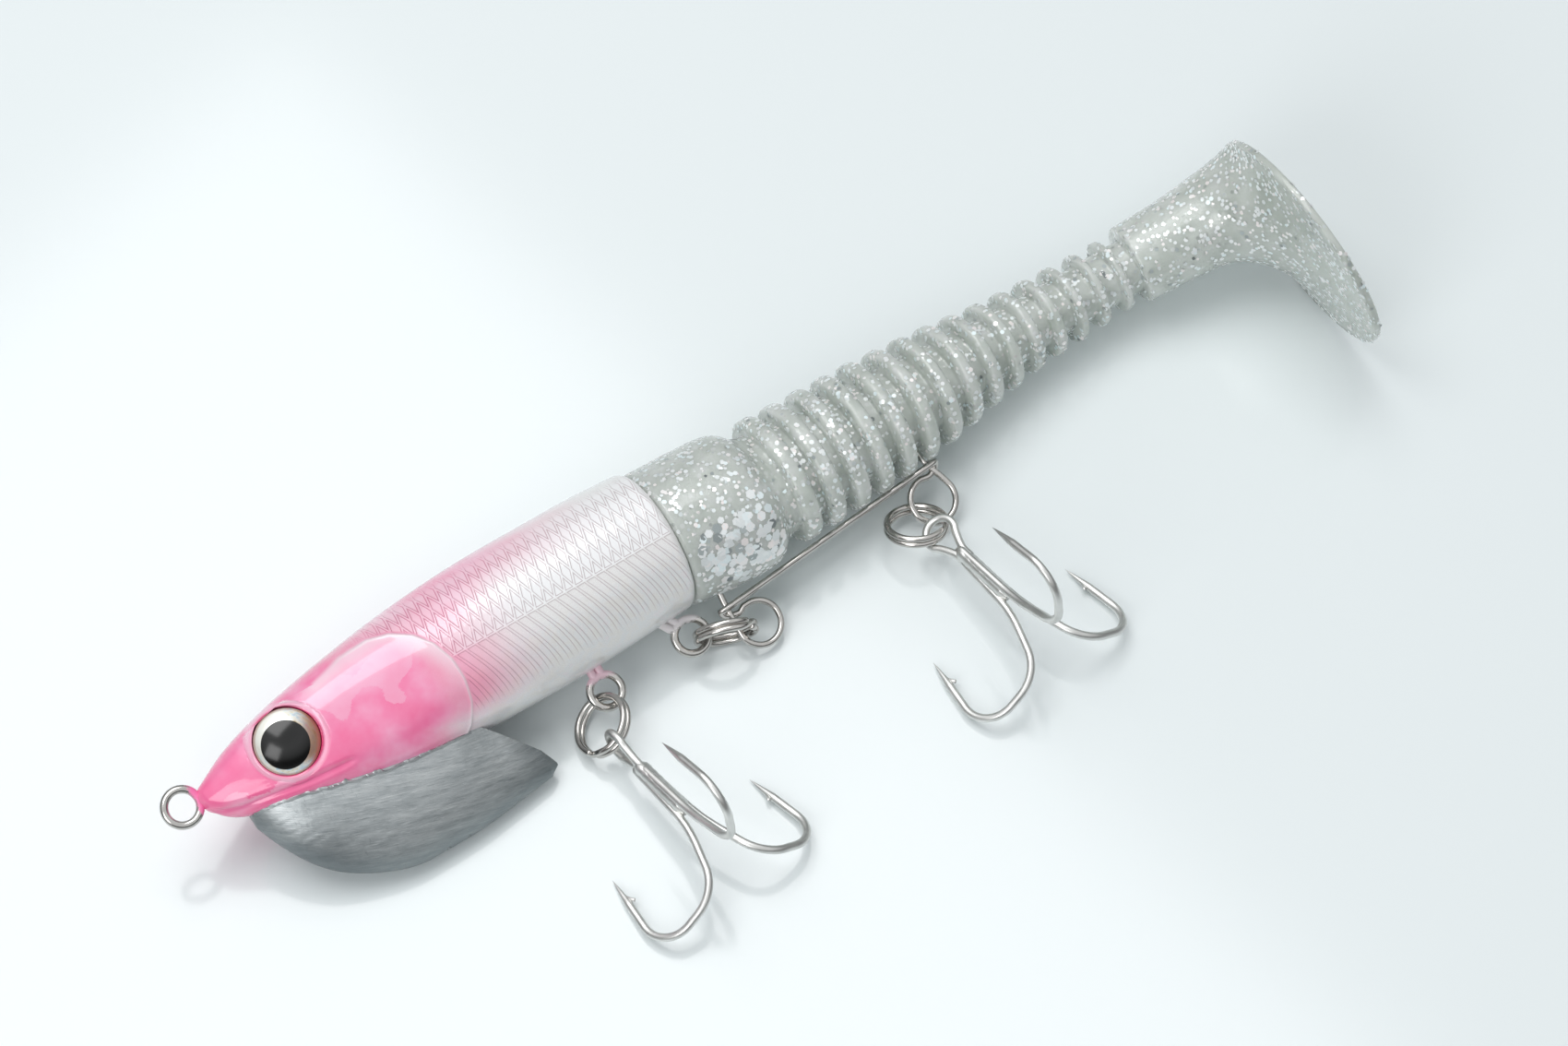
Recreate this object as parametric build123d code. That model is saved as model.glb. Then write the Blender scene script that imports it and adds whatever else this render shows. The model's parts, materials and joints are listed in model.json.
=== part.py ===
from build123d import *
import os
from math import acos, atan2, cos, radians, sin, sqrt

# Swimbait lying on its right side: hollow hard body, cast keel, soft paddle tail and two treble hooks.
# Millimetres. Each piece of the body is drawn in the lure's own axes (x from nose to tail, y to the
# back, z to the left flank, zero at the centre of the nose ring), then laid down with the others.

# ---- how the lure lies on its side ----
lie_roll = 26.0             # the belly turns this far down towards the surface
lie_pitch = 1.2             # the tail end lies lower than the nose
ride_height = 13.13         # nose ring centre above the surface

# ---- hard body ----
shell_nose = 2.3            # nose of the shell behind the nose ring's centre
body_length = 78.2          # nose of the shell to its flat rear face
body_depth = 23.7           # back to belly at the deepest section
body_width = 22.8           # across both flanks at the widest section
wall = 1.6
fit = 0.10                  # clearance of wires and pegs in the moulded parts
nose_block = 5.5            # solid plastic at the nose, ahead of the hollow
smallest_half = 0.6         # a hollow section smaller than this is left out
body_stations = (           # share of length, back, belly and flank as shares of depth and width
    (0.000, 0.030, -0.075, 0.105),
    (0.025, 0.072, -0.160, 0.225),
    (0.080, 0.163, -0.262, 0.405),
    (0.175, 0.262, -0.362, 0.610),
    (0.290, 0.342, -0.435, 0.790),
    (0.440, 0.418, -0.498, 0.930),
    (0.610, 0.468, -0.523, 0.990),
    (0.765, 0.477, -0.522, 1.000),
    (0.895, 0.475, -0.503, 0.990),
    (1.000, 0.456, -0.485, 0.955),
)
rear_wall = 1.7             # flat plate that closes the back of each half
bulkhead = 1.6              # inner plate that holds the tail spigot's flange

# ---- eyes ----
eye_x = 16.6
eye_y = 0.7
eye_diameter = 9.6
eye_depth_z = 5.9           # floor of the eye socket from the centre plane
eye_tilt = 9.0              # the eyes look a little forward
foil_thick = 0.45
dome_rise = 1.7
socket_wall = 0.9
socket_depth = 0.85
socket_floor = 1.1          # plastic under the foil
socket_cut = 6.0            # clears the shell in front of the eye
dome_rim = 0.35             # straight edge of the dome
dome_spare = 0.5

# ---- wire eyes ----
eye_wire = 1.25
nose_ring_radius = 2.6
nose_inner = (11.4, -1.2)   # centre of the loop inside the shell
belly_eye_x = 62.4
belly_eye_drop = 16.0       # below the lure's centre line
belly_ring_radius = 2.45
rear_eye_inset = 2.7        # ahead of the flat rear face
rear_eye_drop = 15.3
rear_ring_radius = 2.6
inner_loop_radius = 1.7
inner_loop_y = -8.6
rear_inner_inset = 4.4      # the rear eye's inner loop lies this far ahead of its ring
leg_gap = 0.51              # half the spacing of an eye's two legs, as a share of the wire

# ---- cast keel ----
keel_slope = ((40.5, -9.0), (52.0, -22.0))     # the keel's bare rear edge, below the belly
keel_step = 6.0             # flat ahead of the slope, inside the belly
keel_nose_rise = 5.0
keel_sections = (           # x, seat height, lowest point, half width at the seat
    (7.8, -5.6, -8.0, 1.0),
    (9.4, -5.8, -11.6, 2.9),
    (13.0, -6.0, -17.2, 4.8),
    (19.0, -6.6, -21.7, 5.8),
    (28.0, -7.6, -24.3, 6.1),
    (37.0, -8.6, -24.2, 5.8),
    (44.0, -14.0, -23.4, 4.2),
    (50.3, -20.9, -22.7, 1.5),
)
tongue_front = 15.0
tongue_rear = 35.0
tongue_half = 1.2
tongue_top = -4.6
tongue_bottom = -12.5

# ---- tail spigot ----
spigot_radius = 4.0
flange_radius = 5.6
flange_thick = 2.0
spigot_length = 14.0        # behind the rear face
barb_radius = 4.9
barb_length = 3.0
barb_places = (6.0, 11.0)   # behind the rear face

# ---- soft tail, measured along x from the rear face of the body ----
spine_bend = ((65.8, 0.4, 9.0), (78.0, 0.7, 8.5), (87.8, 0.4, 9.0), (99.5, -1.3, 12.1), (109.3, -2.95, 16.3))
spine_straight = (0.0, 20.5, 42.5)
collar_length = 16.5
collar_radius = 10.55
collar_shape = ((0, 0), (5, 0), (11, 0.4), (15, 1.6))     # x and how far it draws in
core_start = 12.0
core_spans = 7
core_front_radius = 7.4
core_rear_radius = 4.3
core_taper_end = 70.0       # where the core reaches its smallest radius
rib_count = 15
rib_first = 20.7
rib_pitch = 4.52
rib_radius = (9.3, 9.2, 9.1, 9.0, 8.9, 8.7, 8.4, 8.0, 7.5, 7.0, 6.65, 6.4, 6.2, 6.0, 5.85)
rib_thick_front = 2.9
rib_thick_rear = 1.3
rib_round = 0.3             # edge radius, as a share of the rib's thickness
ribs_ahead_of_joint = 11
rear_core_stations = (74, 82)
boot_start = 87.3
boot_radius = 6.4
boot_flare = (              # x, offset to the back, growth to the back and to the flank
    (94, 0.0, 0.3, 0.3),
    (101, -2.0, 2.6, 1.2),
)
boot_foot = (3.5, 0.38, 0.36)    # on the paddle: offset, shares of its height and width
paddle_height = 37.8        # back to belly
paddle_width = 34.0         # flank to flank
paddle_thick = 2.6
paddle_lean = 12.0
paddle_centre = (108.6, -14.6, 17.1)
paddle_round = 0.4          # rim radius, as a share of the thickness
knuckle_radius = 1.2
knuckle_gap = 0.3
web_bite = 0.5              # how far the knuckle's web runs into the rear core

# ---- stinger rig ----
rig_wire = 1.0
rig_front = (7.4, -18.6)    # ring centre from the rear face and the centre line
rig_rear = (40.6, -15.8)
rig_front_radius = 3.35
rig_rear_radius = 3.55
bar_front = (3.6, -14.4)
bar_rear = (42.9, -11.0)
prong_front = (5.0, -6.6)
prong_rear = (41.6, -4.5)
bar_offset = 1.05           # the bar runs beside the two rings
prong_lead = 0.4            # from the bar's end to the root of its prong, along and up

# ---- split rings ----
ring_wire = 1.0
ring_outside = 9.9
winding_step = 0.95

# ---- treble hooks ----
hook_wire = 1.25
hook_length = 31.3
hook_reach = 16.5           # from the shank's axis to the furthest point of a bend
hook_tip_length = 4.5
hook_point_radius = 0.06
hook_eye_radius = 2.43
hook_branch = (             # along the shank and out from it, shares of length and reach
    (0.655, 0.079),
    (0.981, 0.315),
    (0.981, 0.880),
    (0.845, 1.000),
    (0.518, 0.894),
)
hook_bends = (20.0, 6.0, 5.0, 4.4)
barb_height = 0.8
barb_front = 3.2            # places along the wire behind the point
barb_peak = 4.6
barb_back = 5.4
barb_half_thick = 0.22
shank_spacing = 0.74        # from the shank's axis to each of its three wires
solder_radius = 0.45        # solder that fills the middle of the shank
solder_middle = 0.40        # shares of the hook's length, as are the next four
solder_length = 0.18
eye_leg_end = 0.29
pair_start = 0.235
third_start = 0.32
eye_leg_spread = 0.525      # the eye's legs from the axis, in wires

# ---- how the hanging pieces lie: directions from one wire to the next, and slack ----
ring_reach = 0.75           # ring centre past its own radius, from the centre of the wire eye
link_slack = 0.14
rear_ring_spare = 0.49
hook_reach_out = 0.8        # hook eye centre past the ring's radius
rear_hook_slack = 0.94
front_ring_way = (-3.26, -3.95, -1.01)
link_ring_way = (4.46, -2.39, 0.16)
rear_ring_way = (-4.93, -2.68, 0.93)
front_hook_way = (-0.34, -5.00, 1.52)
rear_hook_way = (1.69, -3.74, 1.30)
front_ring_normal = (-0.557, 0.314, 0.769)
link_ring_normal = (-0.346, -0.896, -0.279)
rear_ring_normal = (0.194, 0.395, 0.898)
front_hook_axis = (0.094, -0.974, 0.175)
front_hook_branch = (-0.018, 0.207, 0.978)
rear_hook_axis = (0.073, -0.981, 0.145)
rear_hook_branch = (-0.858, -0.153, -0.490)

rear_face = shell_nose + body_length
ring_radius = (ring_outside - ring_wire) / 2
lure_lying = Location((0, 0, ride_height)) * Rot(0, lie_pitch, 0) * Rot(lie_roll, 0, 0)


def lying(x, y, z=0.0):
    """A point of the lure's own axes, laid down."""
    return (lure_lying * Location((x, y, z))).position


def disc(plane, radius, thick):
    """Round bar or disc that stands on a plane."""
    return plane.location * Cylinder(radius, thick, align=(Align.CENTER, Align.CENTER, Align.MIN))


def rod(start, end, radius):
    """Round bar between two points, with ball ends."""
    start, end = Vector(*start), Vector(*end)
    run = end - start
    bar = disc(Plane(start, z_dir=run), radius, run.length)
    return bar + Pos(start) * Sphere(radius) + Pos(end) * Sphere(radius)


def wire_ring(centre, radius, wire, normal=(0, 0, 1)):
    """Closed ring of wire."""
    return Plane(centre, z_dir=normal).location * Torus(radius, wire / 2)


# ---------------------------------------------------------------- hard body
def body_solid(shrink=0.0, first=None, last=None):
    """The body's outer form, or the same form set in by shrink between two x values."""
    faces = []
    for share, back, belly, flank in body_stations:
        half_depth = (back - belly) * body_depth / 2 - shrink
        half_width = flank * body_width / 2 - shrink
        if half_depth < smallest_half or half_width < smallest_half:
            continue
        centre_y = (back + belly) * body_depth / 2
        plane = Plane((shell_nose + share * body_length, centre_y, 0), x_dir=(0, 1, 0), z_dir=(1, 0, 0))
        faces.append(plane * Ellipse(half_depth, half_width))
    form = loft(faces)
    if first is not None:
        form &= Pos((first + last) / 2, 0, 0) * Box(last - first, 60, 60)
    return form


def half_space(side):
    """Everything on the left flank (side 1) or the right flank (side -1) of the centre plane."""
    return Pos(rear_face / 2, 0, side * 20) * Box(rear_face * 2, 80, 40)


def wire_eye(centre, ring_r, inner, inner_r, wire):
    """Figure-eight hanger: a ring outside the shell and a loop inside it, joined by two legs."""
    outer, core = Vector(*centre, 0), Vector(*inner, 0)
    along = (core - outer).normalized()
    across = Vector(-along.Y, along.X, 0)
    gap = eye_wire * leg_gap
    hanger = wire_ring(outer, ring_r, wire) + wire_ring(core, inner_r, wire)
    for side in (-1, 1):
        start = outer + along * sqrt(ring_r ** 2 - gap ** 2) + across * (side * gap)
        end = core - along * sqrt(inner_r ** 2 - gap ** 2) + across * (side * gap)
        hanger += rod(tuple(start), tuple(end), wire / 2)
    return hanger


belly_centre = (belly_eye_x, -belly_eye_drop)
belly_inner = (belly_eye_x, inner_loop_y)
rear_eye_x = rear_face - rear_eye_inset
rear_centre = (rear_eye_x, -rear_eye_drop)
rear_inner = (rear_eye_x - rear_inner_inset, inner_loop_y)
eyes_of_wire = {
    "nose_eye": ((0, 0), nose_ring_radius, nose_inner),
    "belly_eye": (belly_centre, belly_ring_radius, belly_inner),
    "rear_eye": (rear_centre, rear_ring_radius, rear_inner),
}


def hanger(name, wire=eye_wire):
    """One of the three wire eyes, or its groove in the shell when the wire is thicker."""
    centre, ring_r, inner = eyes_of_wire[name]
    return wire_eye(centre, ring_r, inner, inner_loop_radius, wire)


def eye_plane(side, height):
    """Plane of one eye's disc, height out from the floor of its socket."""
    tilt = radians(eye_tilt)
    normal = Vector(-sin(tilt), 0, side * cos(tilt))
    return Plane(Vector(eye_x, eye_y, side * eye_depth_z) + normal * height, x_dir=(0, 1, 0), z_dir=normal)


def spigot_solid(grow=0.0):
    """Barbed peg with a flange, on the tail's axis."""
    flange_front = rear_face - rear_wall - flange_thick
    peg_end = rear_face + spigot_length
    across = Rot(0, 90, 0)
    peg = across * Cylinder(spigot_radius + grow, peg_end - flange_front)
    peg = Pos((flange_front + peg_end) / 2, 0, 0) * peg
    flange = across * Cylinder(flange_radius + grow, flange_thick + 2 * grow)
    barbs = [
        Pos(rear_face + place, 0, 0) * across * Cone(barb_radius + grow, spigot_radius + grow, barb_length)
        for place in barb_places
    ]
    return Pos(0, tail_axis_y(), 0) * (peg + Pos(flange_front + flange_thick / 2, 0, 0) * flange + barbs)


def tail_axis_y():
    """Height of the tail's axis: the middle of the rear face."""
    back, belly = body_stations[-1][1:3]
    return (back + belly) * body_depth / 2


def keel_solid():
    """Cast keel: a boat-shaped weight seated against the belly, with a tongue into the body."""
    faces = []
    for x, seat, low, half_width in keel_sections:
        plane = Plane((x, seat, 0), x_dir=(0, 1, 0), z_dir=(1, 0, 0))
        faces.append(plane * Ellipse(seat - low, half_width))
    hull = loft(faces) - body_solid()
    (slope_x, slope_y), (tail_x, tail_y) = keel_slope
    far_x, far_y = tail_x + 20, 30
    outline = Polyline((0, slope_y + keel_nose_rise), (slope_x - keel_step, slope_y), (slope_x, slope_y),
                       (tail_x, tail_y), (far_x, tail_y), (far_x, far_y), (0, far_y), close=True)
    hull -= extrude(make_face(outline), body_depth * 2, both=True)
    weight = hull + tongue_solid()
    return max(weight.solids(), key=lambda solid: solid.volume)


def tongue_solid(grow=0.0):
    """The keel's tongue, or the slot for it in the shell."""
    length = tongue_rear - tongue_front + 2 * grow
    height = tongue_top - tongue_bottom + 2 * grow
    place = Pos((tongue_front + tongue_rear) / 2, (tongue_top + tongue_bottom) / 2, 0)
    return place * Box(length, height, 2 * (tongue_half + grow))


def shell_half(side, outer, cavity, wire_cuts, spigot_cut, keel_cut):
    """One moulded half with its bosses, eye socket, bulkhead and wire grooves."""
    shell = (outer - cavity) & half_space(side)
    for centre, ring_r, inner in eyes_of_wire.values():
        boss_radius = inner_loop_radius - eye_wire / 2 - fit
        boss = Pos(inner[0], inner[1], side * body_width / 2) * Cylinder(boss_radius, body_width)
        shell += boss & outer
    socket_plane = eye_plane(side, -socket_floor)
    shell += disc(socket_plane, eye_diameter / 2 + socket_wall, socket_floor + socket_depth)
    shell -= disc(eye_plane(side, 0), eye_diameter / 2 + fit / 2, socket_cut)
    shell -= wire_cuts + spigot_cut + keel_cut
    return max(shell.solids(), key=lambda solid: solid.volume)


def eye_pieces(side):
    """Printed foil disc and the clear dome over it."""
    foil = disc(eye_plane(side, 0), eye_diameter / 2, foil_thick)
    radius = (dome_rise ** 2 + (eye_diameter / 2) ** 2) / (2 * dome_rise)
    plane = eye_plane(side, foil_thick)
    ball = eye_plane(side, foil_thick + dome_rim + dome_rise - radius).location * Sphere(radius)
    dome = disc(plane, eye_diameter / 2, dome_rim + dome_rise + dome_spare) & ball
    return foil, dome


# ---------------------------------------------------------------- soft tail
def tail_spine():
    """The tail's middle line, from the rear face to the paddle."""
    straight = [lying(rear_face + x, tail_axis_y()) for x in spine_straight]
    bend = [Vector(rear_face + x, y, z) for x, y, z in spine_bend]
    return Spline(*straight, *bend, tangents=[straight[1] - straight[0], bend[-1] - bend[-2]])


spine = tail_spine()


def spine_station(x):
    """Plane across the tail at x behind the rear face: its own x to the back, its z along the tail."""
    low, high = 0.0, 1.0
    for step in range(40):
        middle = (low + high) / 2
        if (spine @ middle).X < rear_face + x:
            low = middle
        else:
            high = middle
    tangent = spine % low
    untwist = min(max((x - spine_straight[-1]) / (boot_start - spine_straight[-1]), 0), 1)
    roll = radians(lie_roll * (1 - untwist))
    back = Vector(0, cos(roll), sin(roll))
    back -= tangent * back.dot(tangent)
    return Plane(spine @ low, x_dir=back, z_dir=tangent)


def core_radius(x):
    """Radius of the tail between its ribs."""
    share = min(max((x - collar_length) / (core_taper_end - collar_length), 0), 1)
    return core_front_radius + share * (core_rear_radius - core_front_radius)


def tail_round(sections):
    """Smooth round form through (x, radius) sections along the spine."""
    return loft([spine_station(x) * Circle(radius) for x, radius in sections])


def rib_thick(index):
    share = index / (rib_count - 1)
    return rib_thick_front + share * (rib_thick_rear - rib_thick_front)


def rib(index):
    """One rib: a disc with rounded edges, square to the spine."""
    thick = rib_thick(index)
    plane = spine_station(rib_first + index * rib_pitch).offset(-thick / 2)
    return fillet(disc(plane, rib_radius[index], thick).edges(), thick * rib_round)


def rib_face(index, side):
    """x of the front (side -1) or rear (side 1) face of one rib."""
    return rib_first + index * rib_pitch + side * rib_thick(index) / 2


def tail_front(spigot_cut, prongs):
    """Collar, core and the ribs ahead of the joint, bored for the spigot and the rig's prongs."""
    collar = tail_round([(x, collar_radius - inset) for x, inset in collar_shape])
    front_end = rib_face(ribs_ahead_of_joint - 1, 1)
    stations = [core_start + i * (front_end - core_start) / core_spans for i in range(core_spans + 1)]
    core = tail_round([(x, core_radius(x)) for x in stations])
    tail = collar + core
    for index in range(ribs_ahead_of_joint):
        tail += rib(index)
    tail -= spigot_cut + prongs
    return max(tail.solids(), key=lambda solid: solid.volume)


joint_x = rib_face(ribs_ahead_of_joint - 1, 1) + knuckle_gap + knuckle_radius
joint_plane = spine_station(joint_x)


def paddle_plane():
    """Rear face of the paddle."""
    lean = radians(paddle_lean)
    x, y, z = paddle_centre
    return Plane((rear_face + x, y, z), x_dir=(0, 1, 0), z_dir=(cos(lean), 0, sin(lean)))


def tail_rear():
    """Knuckle, rear ribs, boot and paddle."""
    rear_start = rib_face(ribs_ahead_of_joint, -1)
    stations = [rear_start, *rear_core_stations, boot_start + web_bite]
    core = tail_round([(x, core_radius(x)) for x in stations])
    knuckle = Plane(joint_plane.origin, x_dir=joint_plane.z_dir, z_dir=joint_plane.x_dir).location
    width = 2 * core_radius(joint_x)
    knuckle = knuckle * Cylinder(knuckle_radius, width)
    web_length = rear_start - joint_x + web_bite
    standing = (Align.CENTER, Align.CENTER, Align.MIN)
    web = joint_plane.location * Box(width, 2 * knuckle_radius, web_length, align=standing)
    tail = core + knuckle + web
    for index in range(ribs_ahead_of_joint, rib_count):
        tail += rib(index)
    plate = paddle_plane()
    sections = [spine_station(boot_start) * Circle(boot_radius)]
    for x, offset, tall, wide in boot_flare:
        sections.append(spine_station(x) * Pos(offset, 0) * Ellipse(boot_radius + tall, boot_radius + wide))
    offset, tall, wide = boot_foot
    foot = Pos(offset, 0) * Ellipse(paddle_height * tall, paddle_width * wide)
    sections.append(plate.offset(-paddle_thick / 2) * foot)
    boot = loft(sections)
    blade = extrude(Ellipse(paddle_height / 2, paddle_width / 2), paddle_thick)
    blade = fillet((plate.offset(-paddle_thick).location * blade).edges(), paddle_thick * paddle_round)
    tail += boot + blade
    return max(tail.solids(), key=lambda solid: solid.volume)


# ---------------------------------------------------------------- rig, rings and hooks
def rig_prongs():
    """The two ends of the rig's wire, which stand up into the tail."""
    prongs = []
    for bar, tip in ((bar_front, prong_front), (bar_rear, prong_rear)):
        start = (rear_face + bar[0] + prong_lead, bar[1] + prong_lead, 0)
        prongs.append(rod(start, (rear_face + tip[0], tip[1], 0), rig_wire / 2))
    return prongs


def rig_solid():
    """One wire: two rings, the straight bar beside them and the prongs that pin the tail."""
    front = Vector(rear_face + rig_front[0], rig_front[1], 0)
    rear = Vector(rear_face + rig_rear[0], rig_rear[1], 0)
    bar_a = Vector(rear_face + bar_front[0], bar_front[1], bar_offset)
    bar_b = Vector(rear_face + bar_rear[0], bar_rear[1], bar_offset)
    rig = wire_ring(front, rig_front_radius, rig_wire) + wire_ring(rear, rig_rear_radius, rig_wire)
    rig += rod(tuple(bar_a), tuple(bar_b), rig_wire / 2)
    for bar_end, ring_centre, ring_r in ((bar_a, front, rig_front_radius), (bar_b, rear, rig_rear_radius)):
        turn = Vector(bar_end.X, bar_end.Y, 0)
        side = (turn - ring_centre).normalized()
        rig += rod(tuple(bar_end), tuple(turn), rig_wire / 2)
        rig += rod(tuple(turn), tuple(ring_centre + side * ring_r), rig_wire / 2)
        rig += rod(tuple(turn), (turn.X + prong_lead, turn.Y + prong_lead, 0), rig_wire / 2)
    for prong in rig_prongs():
        rig += prong
    return max(rig.solids(), key=lambda solid: solid.volume)


def split_ring(centre, normal):
    """Two turns of wire, one on the other."""
    plane = Plane(centre, z_dir=normal)
    front, back = plane.offset(-winding_step / 2), plane.offset(winding_step / 2)
    turn = Torus(ring_radius, ring_wire / 2)
    return front.location * turn + back.location * turn


def branch_wire(start_share):
    """One branch from the shank round its bend to the needle point, in the branch's own plane."""
    points = [(start_share * hook_length, shank_spacing)]
    points += [(along * hook_length, out * hook_reach) for along, out in hook_branch]
    tip = Vector(*points[-1])
    bend_end = Vector(*points[-2])
    spear = (tip - bend_end).normalized()
    root = tip - spear * hook_tip_length
    path = FilletPolyline(*points[:-1], (root.X, root.Y), radius=list(hook_bends))
    wire = sweep(Plane(path @ 0, z_dir=path % 0) * Circle(hook_wire / 2), path=path)
    standing = (Align.CENTER, Align.CENTER, Align.MIN)
    point = Cone(hook_wire / 2, hook_point_radius, hook_tip_length, align=standing)
    point = Plane(Vector(root.X, root.Y, 0), z_dir=Vector(spear.X, spear.Y, 0)).location * point
    inward = Vector(spear.Y, -spear.X)
    if inward.Y > 0:
        inward = inward * -1
    barb_a = tip - spear * barb_front
    barb_b = tip - spear * barb_peak + inward * (hook_wire / 2 + barb_height)
    barb_c = tip - spear * barb_back
    outline = Polyline((barb_a.X, barb_a.Y), (barb_b.X, barb_b.Y), (barb_c.X, barb_c.Y), close=True)
    barb = extrude(make_face(outline), barb_half_thick, both=True)
    return wire + point + barb


def treble(origin, axis, branch):
    """Both pieces of a treble: the two-point wire with the eye, and the brazed third point."""
    centre = Vector(hook_eye_radius + hook_wire / 2, 0)
    leg_end = Vector(eye_leg_end * hook_length, hook_wire * eye_leg_spread)
    away = leg_end - centre
    swing = atan2(away.Y, away.X) + acos(hook_eye_radius / away.length)
    touch = centre + Vector(cos(swing), sin(swing)) * hook_eye_radius
    eye_path = Wire([
        Line((leg_end.X, leg_end.Y), (touch.X, touch.Y)),
        ThreePointArc((touch.X, touch.Y), (hook_wire / 2, 0), (touch.X, -touch.Y)),
        Line((touch.X, -touch.Y), (leg_end.X, -leg_end.Y)),
    ])
    loop = sweep(Plane(eye_path @ 0, z_dir=eye_path % 0) * Circle(hook_wire / 2), path=eye_path)
    solder = Rot(0, 90, 0) * Cylinder(solder_radius, solder_length * hook_length)
    solder = Pos(solder_middle * hook_length, 0, 0) * solder
    double = loop + solder
    for turn in (120, 240):
        double += Rot(turn, 0, 0) * branch_wire(pair_start)
    single = branch_wire(third_start) - solder
    place = Plane(origin, x_dir=axis, z_dir=Vector(*axis).cross(Vector(*branch))).location
    return place * max(double.solids(), key=lambda solid: solid.volume), place * single


# poses of the hanging pieces, all laid down: each step leads from one wire to the next
belly_hang = lying(*belly_centre)
rear_hang = lying(*rear_centre)
rig_rear_hang = lying(rear_face + rig_rear[0], rig_rear[1])
ring_seat = ring_radius + ring_reach
hook_seat = ring_radius + hook_reach_out


def towards(start, direction, reach):
    """The point that lies reach away from start."""
    return Vector(*start) + Vector(*direction).normalized() * reach


front_ring_centre = towards(belly_hang, front_ring_way, ring_seat)
link_ring_centre = towards(rear_hang, link_ring_way, ring_seat - link_slack)
rear_ring_centre = towards(rig_rear_hang, rear_ring_way, ring_seat + rear_ring_spare)
front_hook_eye = towards(front_ring_centre, front_hook_way, hook_seat)
rear_hook_eye = towards(rear_ring_centre, rear_hook_way, hook_seat - rear_hook_slack)


def hook_origin(eye_centre, axis):
    """Front end of a hook whose eye is centred there."""
    return Vector(*eye_centre) - Vector(*axis).normalized() * (hook_eye_radius + hook_wire / 2)


# ---------------------------------------------------------------- build
outer_form = body_solid()
room_end = rear_face - rear_wall
flange_seat = room_end - flange_thick - fit
front_room = body_solid(wall, shell_nose + nose_block, flange_seat - bulkhead)
rear_room = body_solid(wall, flange_seat, room_end)
wire_grooves = hanger("nose_eye", eye_wire + 2 * fit)
for eye_name in ("belly_eye", "rear_eye"):
    wire_grooves += hanger(eye_name, eye_wire + 2 * fit)
spigot_hole = spigot_solid(fit)
tongue_slot = tongue_solid(fit)

pieces = {}
for flank_name, flank in (("left", 1), ("right", -1)):
    half = shell_half(flank, outer_form, front_room + rear_room, wire_grooves, spigot_hole, tongue_slot)
    pieces["body_shell_" + flank_name] = lure_lying * half
    foil_piece, dome_piece = eye_pieces(flank)
    pieces["eye_foil_" + flank_name] = lure_lying * foil_piece
    pieces["eye_dome_" + flank_name] = lure_lying * dome_piece
for eye_name in eyes_of_wire:
    pieces[eye_name] = lure_lying * hanger(eye_name)
pieces["keel_weight"] = lure_lying * keel_solid()
pieces["tail_spigot"] = lure_lying * spigot_solid()
pieces["rig_wire"] = lure_lying * rig_solid()
prong_holes = [lure_lying * prong for prong in rig_prongs()]
pieces["soft_tail_front"] = tail_front(lure_lying * spigot_solid(), prong_holes[0] + prong_holes[1])
pieces["soft_tail_rear"] = tail_rear()
pieces["front_split_ring"] = split_ring(front_ring_centre, front_ring_normal)
pieces["link_split_ring"] = split_ring(link_ring_centre, link_ring_normal)
pieces["rear_split_ring"] = split_ring(rear_ring_centre, rear_ring_normal)
for hook_name, eye_centre, axis, branch in (
    ("front", front_hook_eye, front_hook_axis, front_hook_branch),
    ("rear", rear_hook_eye, rear_hook_axis, rear_hook_branch),
):
    double, single = treble(hook_origin(eye_centre, axis), axis, branch)
    pieces[hook_name + "_treble_double"] = double
    pieces[hook_name + "_treble_single"] = single

whole = Compound(children=[Compound(piece.solids()) for piece in pieces.values()]).bounding_box()
origin_shift = Vector(-(whole.min.X + whole.max.X) / 2, -(whole.min.Y + whole.max.Y) / 2, -whole.min.Z)

os.makedirs("parts", exist_ok=True)
for name, piece in pieces.items():
    export_step(Pos(origin_shift) * Compound(piece.solids()), "parts/" + name + ".step")
print("size", whole.size, "origin shift", origin_shift)
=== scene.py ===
import json
import math

import bpy
import numpy as np
from mathutils import Matrix, Vector


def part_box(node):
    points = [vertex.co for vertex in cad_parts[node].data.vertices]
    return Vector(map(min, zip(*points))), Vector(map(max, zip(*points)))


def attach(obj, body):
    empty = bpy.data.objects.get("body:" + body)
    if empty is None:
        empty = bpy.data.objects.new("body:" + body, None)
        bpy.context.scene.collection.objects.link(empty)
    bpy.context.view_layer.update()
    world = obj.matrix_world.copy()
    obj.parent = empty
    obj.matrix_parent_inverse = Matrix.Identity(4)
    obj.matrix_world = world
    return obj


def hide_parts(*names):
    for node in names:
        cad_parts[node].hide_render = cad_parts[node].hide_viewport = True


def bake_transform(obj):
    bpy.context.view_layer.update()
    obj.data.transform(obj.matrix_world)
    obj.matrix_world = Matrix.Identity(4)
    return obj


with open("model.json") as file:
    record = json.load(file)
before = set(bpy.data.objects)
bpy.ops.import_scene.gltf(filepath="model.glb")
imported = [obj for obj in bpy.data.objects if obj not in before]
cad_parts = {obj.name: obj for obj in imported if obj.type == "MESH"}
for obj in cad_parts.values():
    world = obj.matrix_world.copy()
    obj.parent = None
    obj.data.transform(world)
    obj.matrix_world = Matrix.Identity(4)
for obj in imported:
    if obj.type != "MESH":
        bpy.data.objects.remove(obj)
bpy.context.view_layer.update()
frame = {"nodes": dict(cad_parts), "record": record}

MM = 0.001
rng = np.random.default_rng(7)

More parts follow.
